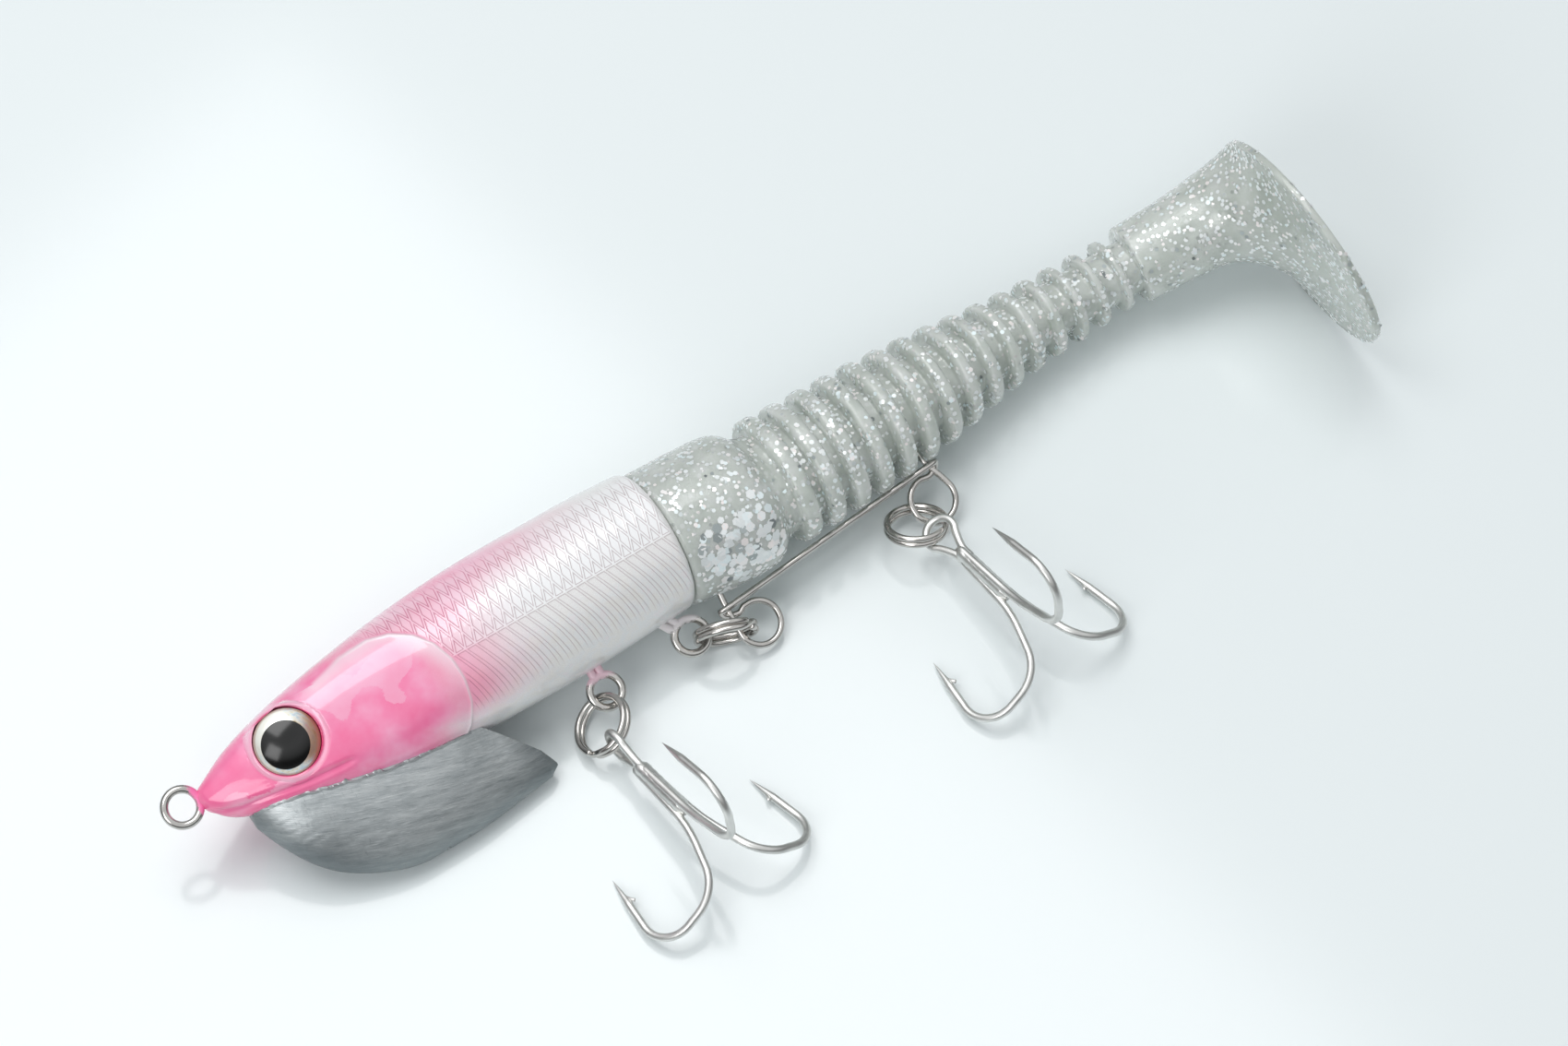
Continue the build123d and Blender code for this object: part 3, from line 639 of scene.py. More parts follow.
# ---------------------------------------------------------------- keel
KEEL_STATIONS = (7.8, 9.4, 13.0, 19.0, 28.0, 37.0, 44.0, 50.3)
KEEL_LOW = (-8.0, -11.6, -17.2, -21.7, -24.3, -24.2, -23.4, -22.7)
KEEL_SEAT = (-5.6, -5.8, -6.0, -6.6, -7.6, -8.6, -14.0, -20.9)
KEEL_HALF = (1.0, 2.9, 4.8, 5.8, 6.1, 5.8, 4.2, 1.5)
KEEL_SLOPE = ((40.5, -9.0), (52.0, -22.0))


def hash_noise(x, y, seed):
    """Smooth random surface from 0 to 1 over a unit grid."""
    table = np.random.default_rng(seed).random((64, 64))
    xi, yi = np.floor(x).astype(int), np.floor(y).astype(int)
    fx, fy = x - xi, y - yi
    fx, fy = fx * fx * (3 - 2 * fx), fy * fy * (3 - 2 * fy)
    a = table[xi % 64, yi % 64] * (1 - fx) + table[(xi + 1) % 64, yi % 64] * fx
    b = table[xi % 64, (yi + 1) % 64] * (1 - fx) + table[(xi + 1) % 64, (yi + 1) % 64] * fx
    return a * (1 - fy) + b * fy


def build_keel(material):
    stations = np.linspace(KEEL_STATIONS[0] + 0.05, KEEL_STATIONS[-1] + 0.3, 240)
    across = 90
    angle = np.linspace(-math.pi / 2, math.pi / 2, across)
    u = stations[:, None] + 0 * angle[None]
    low, seat, half = (curve_through(KEEL_STATIONS, line, u) for line in (KEEL_LOW, KEEL_SEAT, KEEL_HALF))
    slope = KEEL_SLOPE[0][1] + (u - KEEL_SLOPE[0][0]) * (KEEL_SLOPE[1][1] - KEEL_SLOPE[0][1]) / (
        KEEL_SLOPE[1][0] - KEEL_SLOPE[0][0])
    bare = smoothstep(37.0, 44.0, u)
    seat = seat * (1 - bare) + np.maximum(slope, low + 0.25) * bare
    half = half * (1 - bare) + half * bare * 0.96
    c, s = np.cos(angle)[None], np.sin(angle)[None]
    tip = np.sqrt(np.clip((stations[-1] - u) / 1.6, 0.03, 1))
    v = seat - (seat - low) * np.abs(c)
    v = (seat + low) / 2 + (v - (seat + low) / 2) * tip
    n = half * s * tip
    file_marks = hash_noise(u * 0.35 + 3, v * 3.1 + 40, 3) + 0.6 * hash_noise(u * 0.9, v * 7.0 + 90, 4)
    n = n + np.sign(n) * (file_marks - 0.8) * 0.07 * np.clip(np.abs(n), 0, 1)
    nick = (hash_noise(u * 2.3, u * 0 + 2.5, 5) > 0.80) & (u > 24) & (u < 34)
    v = v + np.where(nick & (np.abs(c) > 0.985), 0.28, 0.0)
    rows = np.stack([u, v, n], 2)
    points = rows.reshape(-1, 3)
    faces = []
    count = len(stations)
    for i in range(count - 1):
        for j in range(across - 1):
            faces.append((i * across + j, (i + 1) * across + j, (i + 1) * across + j + 1, i * across + j + 1))
        faces.append((i * across + across - 1, (i + 1) * across + across - 1, (i + 1) * across, i * across))
    faces.append(tuple(range(across)))
    faces.append(tuple((count - 1) * across + j for j in range(across))[::-1])
    parts = Parts()
    parts.add(to_row(points), faces)
    for side in (1, -1):
        burr, burr_faces = keel_burr(side)
        parts.add(to_row(burr), burr_faces)
    obj = parts.make("keel_casting", [material])
    obj.data.set_sharp_from_angle(angle=math.radians(40))
    return obj


def keel_burr(side):
    """Thin ragged flash of lead, squeezed up along the seam with the belly."""
    stations = np.linspace(KEEL_STATIONS[0] + 0.3, 40.6, 420)
    seat = curve_through(KEEL_STATIONS, KEEL_SEAT, stations)
    half = curve_through(KEEL_STATIONS, KEEL_HALF, stations)
    low = curve_through(KEEL_STATIONS, KEEL_LOW, stations)
    angle = np.linspace(math.pi / 2, 0.2, 60)[:, None]
    v = seat - (seat - low) * np.abs(np.cos(angle))
    n = half * np.abs(np.sin(angle))
    inside = n < flank_height(stations[None] + 0 * n, v)
    first = np.argmin(inside, axis=0)
    pick = np.arange(len(stations))
    seam_v, seam_n = v[first, pick], n[first, pick]
    smooth = np.ones(15) / 15
    seam_v = np.convolve(np.pad(seam_v, 7, "edge"), smooth, "valid")
    seam_n = np.convolve(np.pad(seam_n, 7, "edge"), smooth, "valid")
    ragged = (hash_noise(stations * 2.6, stations * 0 + 9.5, 8)
              * hash_noise(stations * 0.7, stations * 0 + 4.5, 9))
    reach = 0.06 + 0.55 * ragged ** 1.5
    base = np.stack([stations, seam_v - 0.45, seam_n + 0.02], 1)
    middle = np.stack([stations, seam_v - 0.1, seam_n + 0.16], 1)
    tip = np.stack([stations, seam_v + reach, flank_height(stations, seam_v + reach) + 0.05], 1)
    under = np.stack([stations, seam_v - 0.15, seam_n - 0.25], 1)
    points = np.concatenate([base, middle, tip, under])
    points[:, 2] *= side
    count = len(stations)
    faces = []
    for k in range(4):
        a, b = k * count, (k + 1) % 4 * count
        faces += [(a + i, a + i + 1, b + i + 1, b + i) for i in range(count - 1)]
    faces += [(0, count, 2 * count, 3 * count), (4 * count - 1, 3 * count - 1, 2 * count - 1, count - 1)]
    if side > 0:
        faces = [f[::-1] for f in faces]
    return points, faces


def brushed_lead():
    paint = Paint("brushed_lead", Metallic=0.80, Roughness=0.42)
    place = paint.attribute("lure", "Vector")
    u, v, n = paint.parts(place)
    run = u * 0.10 - v * 0.036
    across = v * 1.5 + u * 0.5 + n * 0.9
    broad = paint.noise(paint.vector(run, across * 0.45, n * 0.2), 1.3, 4.0, 0.6)
    streaks = paint.noise(paint.vector(run * 1.6, across, n * 0.4), 3.0, 5.0, 0.7)
    cross = paint.noise(paint.vector(u * 1.8, v * 0.35, n * 0.4), 1.6, 3.0, 0.6)
    tone = paint.ramp(broad, (0.30, (0.36, 0.39, 0.40)), (0.50, (0.46, 0.49, 0.50)),
                      (0.70, (0.57, 0.60, 0.605)))
    bright = paint.mix(streaks.step(0.50, 0.74) * 0.45, tone, (0.82, 0.84, 0.84))
    dark = paint.mix(streaks.step(0.48, 0.30) * 0.4, bright, (0.20, 0.23, 0.24))
    scored = paint.mix(cross.step(0.62, 0.72) * u.step(34, 12) * 0.35, dark, (0.16, 0.18, 0.19))
    # Darker along the keel's lower edge, towards the table: painted shade
    height = n.math("ABSOLUTE")
    shaded_low_edge = paint.mix(height.step(4.2, 1.4) * 0.55, scored, (0.12, 0.145, 0.155))
    # Dark band low on the front of the keel: painted shade
    front = u.step(24.0, 12.0) * v.step(-9.5, -16.0) * 0.55
    shaded_front = paint.mix(front, shaded_low_edge, (0.11, 0.13, 0.14))
    rear = u.step(44.0, 51.0) * 0.4
    paint.set("Base Color", paint.mix(rear, shaded_front, (0.16, 0.19, 0.20)))
    paint.set("Roughness", streaks * 0.30 + 0.28)
    paint.bump(streaks * 0.7 + cross * 0.2, 0.10, 0.6)
    return paint.material


# ---------------------------------------------------------------- soft tail: form
SPINE_STRAIGHT = (0.0, 20.5, 42.5)
SPINE_BEND = ((65.8, 0.4, 9.0), (78.0, 0.7, 8.5), (87.8, 0.4, 9.0), (99.5, -1.3, 12.1), (109.3, -2.95, 16.3))
TAIL_AXIS_V = (BACK[-1] + BELLY[-1]) / 2 * BODY_DEPTH
COLLAR = ((0.0, 10.1), (0.35, 10.5), (1.2, 10.55), (6.0, 10.5), (10.0, 10.35), (12.8, 10.15), (14.6, 9.7),
          (15.7, 9.0), (16.4, 8.2), (17.4, 7.55))
SAG_X = (0.0, 8.0, 14.0, 34.0, 46.0, 56.0, 70.0)      # the tail hangs fuller towards the belly
SAG = (0.35, 0.95, 1.2, 1.15, 0.7, 0.3, 0.0)
CORE_FRONT, CORE_REAR, CORE_START, CORE_END = 7.4, 4.3, 16.5, 70.0
RIB_FIRST, RIB_PITCH = 20.7, 4.52
RIB_RADIUS = (9.3, 9.2, 9.1, 9.0, 8.9, 8.7, 8.4, 8.0, 7.5, 7.0, 6.65, 6.4, 6.2, 6.0, 5.85)
RIB_THICK_FRONT, RIB_THICK_REAR = 2.9, 1.3
BOOT_START, BOOT_END, BOOT_RADIUS = 87.3, 97.5, 6.4
PADDLE_HEIGHT, PADDLE_WIDTH = 37.8, 34.0
PADDLE_LEAN = math.radians(12.0)
PADDLE_CENTRE = (108.6, -14.6, 17.1)
SIDES = 144


def tail_spine():
    straight = [to_row((REAR_FACE + x, TAIL_AXIS_V, 0)) for x in SPINE_STRAIGHT]
    bend = [NOSE + np.array([REAR_FACE + x, y, z - RIDE_HEIGHT]) for x, y, z in SPINE_BEND]
    knots = np.array(straight + bend)
    along = np.concatenate([[0], np.cumsum(np.linalg.norm(np.diff(knots, axis=0), axis=1))])
    dense = np.linspace(0, along[-1], 900)
    return np.stack([curve_through(along, knots[:, k], dense) for k in range(3)], 1)


SPINE = tail_spine()
SPINE_X = SPINE[:, 0] - NOSE[0] - REAR_FACE
SPINE_TANGENT = np.gradient(SPINE, axis=0)
kernel = np.ones(41) / 41
SPINE_TANGENT = np.stack([np.convolve(np.pad(SPINE_TANGENT[:, k], 20, "edge"), kernel, "valid")
                          for k in range(3)], 1)
SPINE_TANGENT /= np.linalg.norm(SPINE_TANGENT, axis=1)[:, None]


def spine_frame(x):
    """Centre of the tail at x behind the rear face, with its directions to the back, flank and rear."""
    centre = np.array([np.interp(x, SPINE_X, SPINE[:, k]) for k in range(3)])
    tangent = np.array([np.interp(x, SPINE_X, SPINE_TANGENT[:, k]) for k in range(3)])
    tangent /= np.linalg.norm(tangent)
    untwist = min(max((x - SPINE_STRAIGHT[-1]) / (BOOT_START - SPINE_STRAIGHT[-1]), 0), 1)
    roll = LIE_ROLL * (1 - untwist)
    back = np.array([0, math.cos(roll), math.sin(roll)])
    back -= tangent * (back @ tangent)
    back /= np.linalg.norm(back)
    return centre, back, np.cross(tangent, back), tangent


def core_radius(x):
    share = np.clip((x - CORE_START) / (CORE_END - CORE_START), 0, 1)
    return CORE_FRONT + share * (CORE_REAR - CORE_FRONT)


def tail_profile():
    """(x, radius) all the way from the collar to the front of the boot."""
    xs = np.concatenate([np.linspace(0, 0.35, 5), np.linspace(0.5, 1.2, 3), np.linspace(1.8, 17.6, 46)])
    line = [(x, float(curve_through([p[0] for p in COLLAR], [p[1] for p in COLLAR], x))) for x in xs]
    for index, radius in enumerate(RIB_RADIUS):
        share = index / (len(RIB_RADIUS) - 1)
        half = (RIB_THICK_FRONT + share * (RIB_THICK_REAR - RIB_THICK_FRONT)) / 2
        middle = RIB_FIRST + index * RIB_PITCH
        start = line[-1][0]
        for x in np.linspace(start, middle - half, 6)[1:-1]:
            line.append((x, core_radius(x)))
        for t in np.sin(np.linspace(-math.pi / 2, math.pi / 2, 21)):
            x = middle + t * half
            lift = max(1 - abs(t) ** 4.0, 0) ** (1 / 4.0)
            line.append((x, core_radius(x) + (radius - core_radius(x)) * lift))
    for x in np.linspace(line[-1][0], BOOT_START, 7)[1:]:
        line.append((x, core_radius(x)))
    return line


def tail_rows():
    angles = np.linspace(0, 2 * math.pi, SIDES, endpoint=False)
    rows = []

    def add(x, radius, sway=0.0, ripple=0.0, phase=0.0):
        centre, back, flank, rear = spine_frame(x)
        sag = float(curve_through(SAG_X, SAG, x)) if x < SAG_X[-1] else 0.0
        r = radius * (1 + ripple * np.sin(3 * angles + phase))
        ring = centre + (r * np.cos(angles))[:, None] * back + (r * np.sin(angles))[:, None] * flank
        ring[:, 1] = centre[1] + (ring[:, 1] - centre[1]) * (1 + sag / radius) - sag
        rows.append(ring + (sway * r * np.cos(angles - phase))[:, None] * rear)

    add(0.03, 6.0)
    tilts = rng.normal(0, 0.012, len(RIB_RADIUS) + 2)
    phases = rng.random(len(RIB_RADIUS) + 2) * 6.28
    for x, radius in tail_profile():
        index = (x - RIB_FIRST) / RIB_PITCH
        near = int(np.clip(round(index), 0, len(RIB_RADIUS) - 1))
        hold = smoothstep(0.5, 0.35, abs(index - near)) if x > CORE_START else 0.0
        add(x, radius, tilts[near] * float(hold), 0.004, phases[near])
    for x, radius in ((BOOT_START + 0.02, 5.0), (BOOT_START + 0.1, 6.0),
                      (BOOT_START + 0.35, BOOT_RADIUS - 0.05),
                      (BOOT_START + 0.8, BOOT_RADIUS), (90.0, BOOT_RADIUS + 0.05), (93.0, BOOT_RADIUS + 0.15),
                      (95.5, BOOT_RADIUS + 0.3), (BOOT_END, BOOT_RADIUS + 0.5)):
        add(x, radius)
    ankle = rows[-1]
    centre = NOSE + np.array([REAR_FACE + PADDLE_CENTRE[0], PADDLE_CENTRE[1], PADDLE_CENTRE[2] - RIDE_HEIGHT])
    out = np.array([math.cos(PADDLE_LEAN), 0, math.sin(PADDLE_LEAN)])
    up, wide = np.array([0.0, 1.0, 0.0]), np.cross(out, (0.0, 1.0, 0.0))

    def plate(shrink, depth, dish=0.0):
        h, w = PADDLE_HEIGHT / 2 - shrink, PADDLE_WIDTH / 2 - shrink
        return (centre + (h * np.cos(angles))[:, None] * up + (w * np.sin(angles))[:, None] * wide + out
                * (depth - dish))

    front_rim = plate(0.15, -1.15)
    for share in np.linspace(0, 1, 30)[1:]:
        forward = 1 - (1 - share) ** 2.1
        spread = share ** 1.7
        ring = ankle + (front_rim - ankle) * spread
        shift = (front_rim - ankle) @ out
        rows.append(ring + (shift * (forward - spread))[:, None] * out)
    for shrink, depth in ((0.04, -0.95), (0.0, -0.7), (0.0, -0.35), (0.06, -0.12), (0.25, 0.0), (0.9, 0.0)):
        rows.append(plate(shrink, depth))
    for share in (0.82, 0.62, 0.42, 0.22, 0.06):
        h, w = (PADDLE_HEIGHT / 2 - 0.9) * share, (PADDLE_WIDTH / 2 - 0.9) * share
        dish = 0.5 * (1 - share ** 2)
        rows.append(centre + (h * np.cos(angles))[:, None] * up + (w * np.sin(angles))[:, None] * wide
                    - out * dish)
    return np.array(rows)


def build_tail(material, flake_material):
    rows = tail_rows()
    count = len(rows)
    points = rows.reshape(-1, 3)
    parts = Parts()
    parts.add(points, rings_to_faces(count, SIDES, True, True))
    flakes, faces, hues = tail_flakes(rows)
    parts.add(flakes, faces, slot=1)
    hue = np.concatenate([np.zeros(len(points)), hues])
    obj = parts.make("soft_tail", [material, flake_material], {"hue": hue})
    for face in obj.data.polygons:
        face.use_smooth = face.material_index == 0
    return obj


def tail_flakes(rows):
    """Hexagonal metal flakes just under the skin: small ones all over, large ones low on the collar."""
    normals = np.cross(np.roll(rows, -1, 1) - np.roll(rows, 1, 1), np.gradient(rows, axis=0))
    normals /= np.linalg.norm(normals, axis=2)[:, :, None] + 1e-9
    widths = np.linalg.norm(np.gradient(rows, axis=0), axis=2)
    area = widths * np.linalg.norm(np.roll(rows, -1, 1) - rows, axis=2)
    area[:2] = 0
    area[-6:] = 0
    chance = (area / area.sum()).ravel()
    points, faces, hues = [], [], []

    following = np.roll(rows, -1, 1)

    def flake(row, column, size, lean):
        down, on = rng.random(2)
        after = min(row + 1, len(rows) - 1)
        centre = rows[row, column] * (1 - down) * (1 - on) + following[row, column] * (1 - down) * on
        centre = centre + rows[after, column] * down * (1 - on) + following[after, column] * down * on
        normal = normals[row, column]
        along = following[row, column] - rows[row, column]
        along /= np.linalg.norm(along) + 1e-9
        normal = normal + rng.normal(0, lean, 3)
        normal /= np.linalg.norm(normal)
        along = along - normal * (along @ normal)
        along /= np.linalg.norm(along)
        other = np.cross(normal, along)
        turn = rng.random() * math.pi / 3
        start = len(points)
        lift = centre + normals[row, column] * (0.006 + size * 0.012)
        for height in (0.0, -0.04):
            for k in range(6):
                a = turn + k * math.pi / 3
                points.append(lift + size / 2 * (math.cos(a) * along + math.sin(a) * other) + normal * height)
        faces.append(tuple(range(start, start + 6)))
        faces.append(tuple(range(start + 6, start + 12))[::-1])
        for k in range(6):
            faces.append((start + (k + 1) % 6, start + k, start + 6 + k, start + 6 + (k + 1) % 6))
        hues.extend([rng.random()] * 12)

    columns = rows.shape[1]
    for pick in rng.choice(chance.size, 6400, p=chance):
        flake(pick // columns, pick % columns, rng.uniform(0.5, 0.82), 0.045)
    collar_rows = np.flatnonzero([1.0 < x < 15.0 for x in to_lure(rows.mean(1))[:, 0] - REAR_FACE])
    for _ in range(125):
        low_side = (0.36 + rng.normal(0, 0.055)) % 1
        side = low_side if rng.random() < 0.85 else 1 - low_side
        flake(int(rng.choice(collar_rows)), int(side * columns) % columns, rng.uniform(1.1, 1.65), 0.02)
    return np.array(points), faces, np.array(hues)


# ---------------------------------------------------------------- soft tail: material
def soft_plastic():
    paint = Paint("soft_plastic", Roughness=0.14, IOR=1.45, Transmission_Weight=0.22, Subsurface_Weight=0.55,
                  Subsurface_Scale=0.003, Specular_IOR_Level=0.5, Coat_Weight=0.5, Coat_Roughness=0.06)
    paint.shader.inputs["Subsurface Radius"].default_value = (1.0, 1.05, 0.95)
    place = paint.attribute("lure", "Vector")
    clouds = paint.noise(place, 0.22, 3.0, 0.55)
    clear = paint.ramp(clouds, (0.30, (0.60, 0.65, 0.60)), (0.50, (0.70, 0.745, 0.695)),
                       (0.70, (0.80, 0.835, 0.80)))
    u, _, _ = paint.parts(place)
    # The paddle turns darker green-grey towards its end: painted shade
    base = paint.mix(u.step(176, 192) * 0.5, clear, (0.42, 0.47, 0.41))
    near, near_colour = paint.cells(place, 0.95)
    deep, deep_colour = paint.cells(place, 0.62)
    r, _, _ = paint.parts(deep_colour)
    deep_flake = deep.step(0.30, 0.16) * r.step(0.45, 0.55)
    dulled = paint.mix(deep_flake * 0.5, base, (0.93, 0.95, 0.95))
    dark_flake = deep.step(0.24, 0.14) * r.step(0.12, 0.08)
    darkened = paint.mix(dark_flake * 0.5, dulled, (0.26, 0.29, 0.28))
    r2, g2, _ = paint.parts(near_colour)
    small = near.step(0.27, 0.22) * r2.step(0.50, 0.56)
    tint = paint.mix(g2, (0.88, 0.97, 0.98), (1.0, 0.95, 0.93))
    paint.set("Base Color", paint.mix(small * 0.75, darkened, tint))
    paint.set("Metallic", small * 0.3)
    grain = paint.noise(place, 2.5, 4.0, 0.6)
    paint.bump(grain + small * 0.3, 0.12, 0.5)
    return paint.material


def flake_foil():
    paint = Paint("flake_foil", Metallic=0.25, Roughness=0.30)
    hue = paint.attribute("hue")
    colour = paint.ramp(hue, (0.0, (0.16, 0.18, 0.18)), (0.035, (0.42, 0.47, 0.47)),
                        (0.10, (0.80, 0.84, 0.84)),
                        (0.45, (0.96, 0.98, 0.98)), (0.70, (0.84, 0.95, 0.97)), (0.86, (0.98, 0.92, 0.90)),
                        (1.0, (0.97, 0.98, 0.98)))
    place = paint.attribute("lure", "Vector")
    grain = paint.noise(place, 6.0, 2.0)
    paint.set("Base Color", paint.mix(grain.step(0.4, 0.7) * 0.15, colour, (0.6, 0.65, 0.68)))
    return paint.material


# ---------------------------------------------------------------- wires, rings and hooks
RIG_WIRE, RING_WIRE, HOOK_WIRE = 1.0, 1.0, 1.25
RIG_FRONT, RIG_REAR = (7.4, -18.6), (40.6, -15.8)
RIG_FRONT_RADIUS, RIG_REAR_RADIUS = 3.35, 3.55
BAR_FRONT, BAR_REAR = (3.6, -14.4), (42.9, -11.0)
PRONG_FRONT, PRONG_REAR = (5.0, -6.6), (41.6, -4.5)
BAR_OFFSET = 1.05


def rig_end(ring, ring_radius, bar, prong, forward):
    """One end of the rig, from the bar round its turn and its ring, up into the tail."""
    ring, bar = np.array(ring), np.array(bar)
    away = bar - ring
    start = math.atan2(away[1], away[0])
    line = [(*bar, BAR_OFFSET)]
    line.append((bar[0] - forward * 0.75, bar[1] - 0.05, BAR_OFFSET * 0.55))
    line.append((bar[0] - forward * 0.35, bar[1] - 0.75, 0.0))
    sweep = -forward * math.radians(330)
    for share in np.linspace(0.05, 1, 14):
        a = start + forward * math.radians(10) + sweep * share
        line.append((ring[0] + ring_radius * math.cos(a), ring[1] + ring_radius * math.sin(a), 0.28
                     * (share - 0.5)))
    line.append((bar[0] + forward * 0.55, bar[1] + 0.7, 0.05))
    line.append(((bar[0] + prong[0]) / 2 + forward * 0.2, (bar[1] + prong[1]) / 2, 0.0))
    line.append((*prong, 0.0))
    return [(REAR_FACE + x, y, z) for x, y, z in line]


def build_rig(material):
    front = rig_end(RIG_FRONT, RIG_FRONT_RADIUS, BAR_FRONT, PRONG_FRONT, 1)
    rear = rig_end(RIG_REAR, RIG_REAR_RADIUS, BAR_REAR, PRONG_REAR, -1)
    middle = [tuple(np.array(front[0]) * (1 - t) + np.array(rear[0]) * t)
              for t in (0.04, 0.25, 0.5, 0.75, 0.96)]
    path = smooth_path(front[::-1] + middle + rear, 0.22)
    parts = Parts()
    parts.add(*tube(to_row(path), RIG_WIRE / 2, 20))
    return parts.make("stinger_wire", [material])


RING_OUTSIDE, WINDING_STEP = 9.9, 0.95
RING_RADIUS = (RING_OUTSIDE - RING_WIRE) / 2
FRONT_RING_NORMAL = (-0.557, 0.314, 0.769)
LINK_RING_NORMAL = (-0.346, -0.896, -0.279)
REAR_RING_NORMAL = (0.194, 0.395, 0.898)


def box_centre(node):
    low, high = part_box(node)
    return np.array((low + high) / 2) / MM


def build_split_ring(name, node, normal, start_angle, material):
    """One wire wound twice, with a step where it crosses from one turn to the other."""
    centre = box_centre(node)
    normal = np.array(normal) / np.linalg.norm(normal)
    side = np.cross(normal, (0.2, 0.3, 0.93))
    side /= np.linalg.norm(side)
    other = np.cross(normal, side)
    angles = np.linspace(0, 4 * math.pi - 0.10, 260)
    step = smoothstep(2 * math.pi - 0.42, 2 * math.pi + 0.42, angles)
    height = (step - 0.5) * WINDING_STEP
    a = angles + start_angle
    path = (centre + RING_RADIUS * (np.cos(a)[:, None] * side + np.sin(a)[:, None] * other)
            + height[:, None] * normal)
    radius = np.full(len(angles), RING_WIRE / 2)
    radius[:3] = (0.36, 0.44, 0.49)
    radius[-3:] = (0.49, 0.44, 0.36)
    parts = Parts()
    parts.add(*tube(path, radius, 20))
    return parts.make(name, [material])


HOOK_LENGTH, HOOK_REACH, HOOK_TIP, HOOK_EYE_RADIUS = 31.3, 16.5, 4.5, 2.43
HOOK_BRANCH = ((0.655, 0.079), (0.981, 0.315), (0.981, 0.880), (0.845, 1.000), (0.518, 0.894))
HOOK_BENDS = (20.0, 6.0, 5.0, 4.4)
SHANK_SPACING = 0.74
FRONT_HOOK = ((-0.34, -5.00, 1.52), 0.8, (0.094, -0.974, 0.175), (-0.018, 0.207, 0.978))
REAR_HOOK = ((1.69, -3.74, 1.30), -0.14, (0.073, -0.981, 0.145), (-0.858, -0.153, -0.490))


def rounded(points, radii, step=0.25):
    """Points along straight runs whose corners are arcs of the given radii."""
    points = [np.array(p, float) for p in points]
    out = [points[0]]
    for a, b, c, r in zip(points[:-2], points[1:-1], points[2:], radii):
        d1, d2 = (a - b) / np.linalg.norm(a - b), (c - b) / np.linalg.norm(c - b)
        half = math.acos(np.clip(d1 @ d2, -1, 1)) / 2
        cut = r / math.tan(half)
        middle = b + (d1 + d2) / np.linalg.norm(d1 + d2) * r / math.sin(half)
        first, last = b + d1 * cut - middle, b + d2 * cut - middle
        sweep = math.acos(np.clip(first @ last / r ** 2, -1, 1))
        for t in np.linspace(0, 1, max(3, int(sweep * r / step))):
            out.append(middle + (first * math.sin((1 - t) * sweep) + last * math.sin(t * sweep))
                       / math.sin(sweep))
    out.append(points[-1])
    line = np.array(out)
    length = np.concatenate([[0], np.cumsum(np.linalg.norm(np.diff(line, axis=0), axis=1))])
    even = np.linspace(0, length[-1], int(length[-1] / step))
    return np.stack([np.interp(even, length, line[:, k]) for k in range(line.shape[1])], 1)


def hook_branch(start_share):
    """Branch of a treble in its own plane: path, radius along it and the barb."""
    points = [(start_share * HOOK_LENGTH, SHANK_SPACING)]
    points += [(a * HOOK_LENGTH, b * HOOK_REACH) for a, b in HOOK_BRANCH]
    path = rounded(points, HOOK_BENDS)
    length = np.concatenate([[0], np.cumsum(np.linalg.norm(np.diff(path, axis=0), axis=1))])
    from_tip = length[-1] - length
    radius = HOOK_WIRE / 2 * np.clip(from_tip / HOOK_TIP, 0.03, 1) ** 0.85
    radius[:3] *= (0.55, 0.8, 0.95)
    path = np.concatenate([path, np.zeros((len(path), 1))], 1)
    spear = path[-1] - path[-12]
    spear /= np.linalg.norm(spear)
    inward = np.array([spear[1], -spear[0], 0.0])
    if inward[1] > 0:
        inward = -inward
    tip = path[-1]
    return path, radius, (tip, spear, inward)


def barb(tip, spear, inward):
    """Sliver cut up from the wire behind the point."""
    side = np.cross(spear, inward)
    rows = []
    for back, rise, half in ((3.0, 0.30, 0.05), (3.4, 0.48, 0.16), (3.9, 0.78, 0.20), (4.35, 1.12, 0.16),
                             (4.62, 1.36, 0.04)):
        top = tip - spear * back + inward * rise
        low = tip - spear * (back + 0.35) + inward * max(rise - 0.34, 0.2)
        rows.append([top + side * half, top - side * half, low - side * half, low + side * half])
    return np.concatenate(rows), rings_to_faces(len(rows), 4, True, True)


def treble_frame(ring_node, hook):
    """Origin at the front of the hook's eye, with the shank and branch directions."""
    offset, seat, axis, branch = (np.array(x, float) for x in hook)
    axis = axis / np.linalg.norm(axis)
    branch = branch - axis * (branch @ axis)
    branch /= np.linalg.norm(branch)
    eye = box_centre(ring_node) + offset / np.linalg.norm(offset) * (RING_RADIUS + float(seat))
    return eye - axis * (HOOK_EYE_RADIUS + HOOK_WIRE / 2), axis, branch, np.cross(axis, branch)


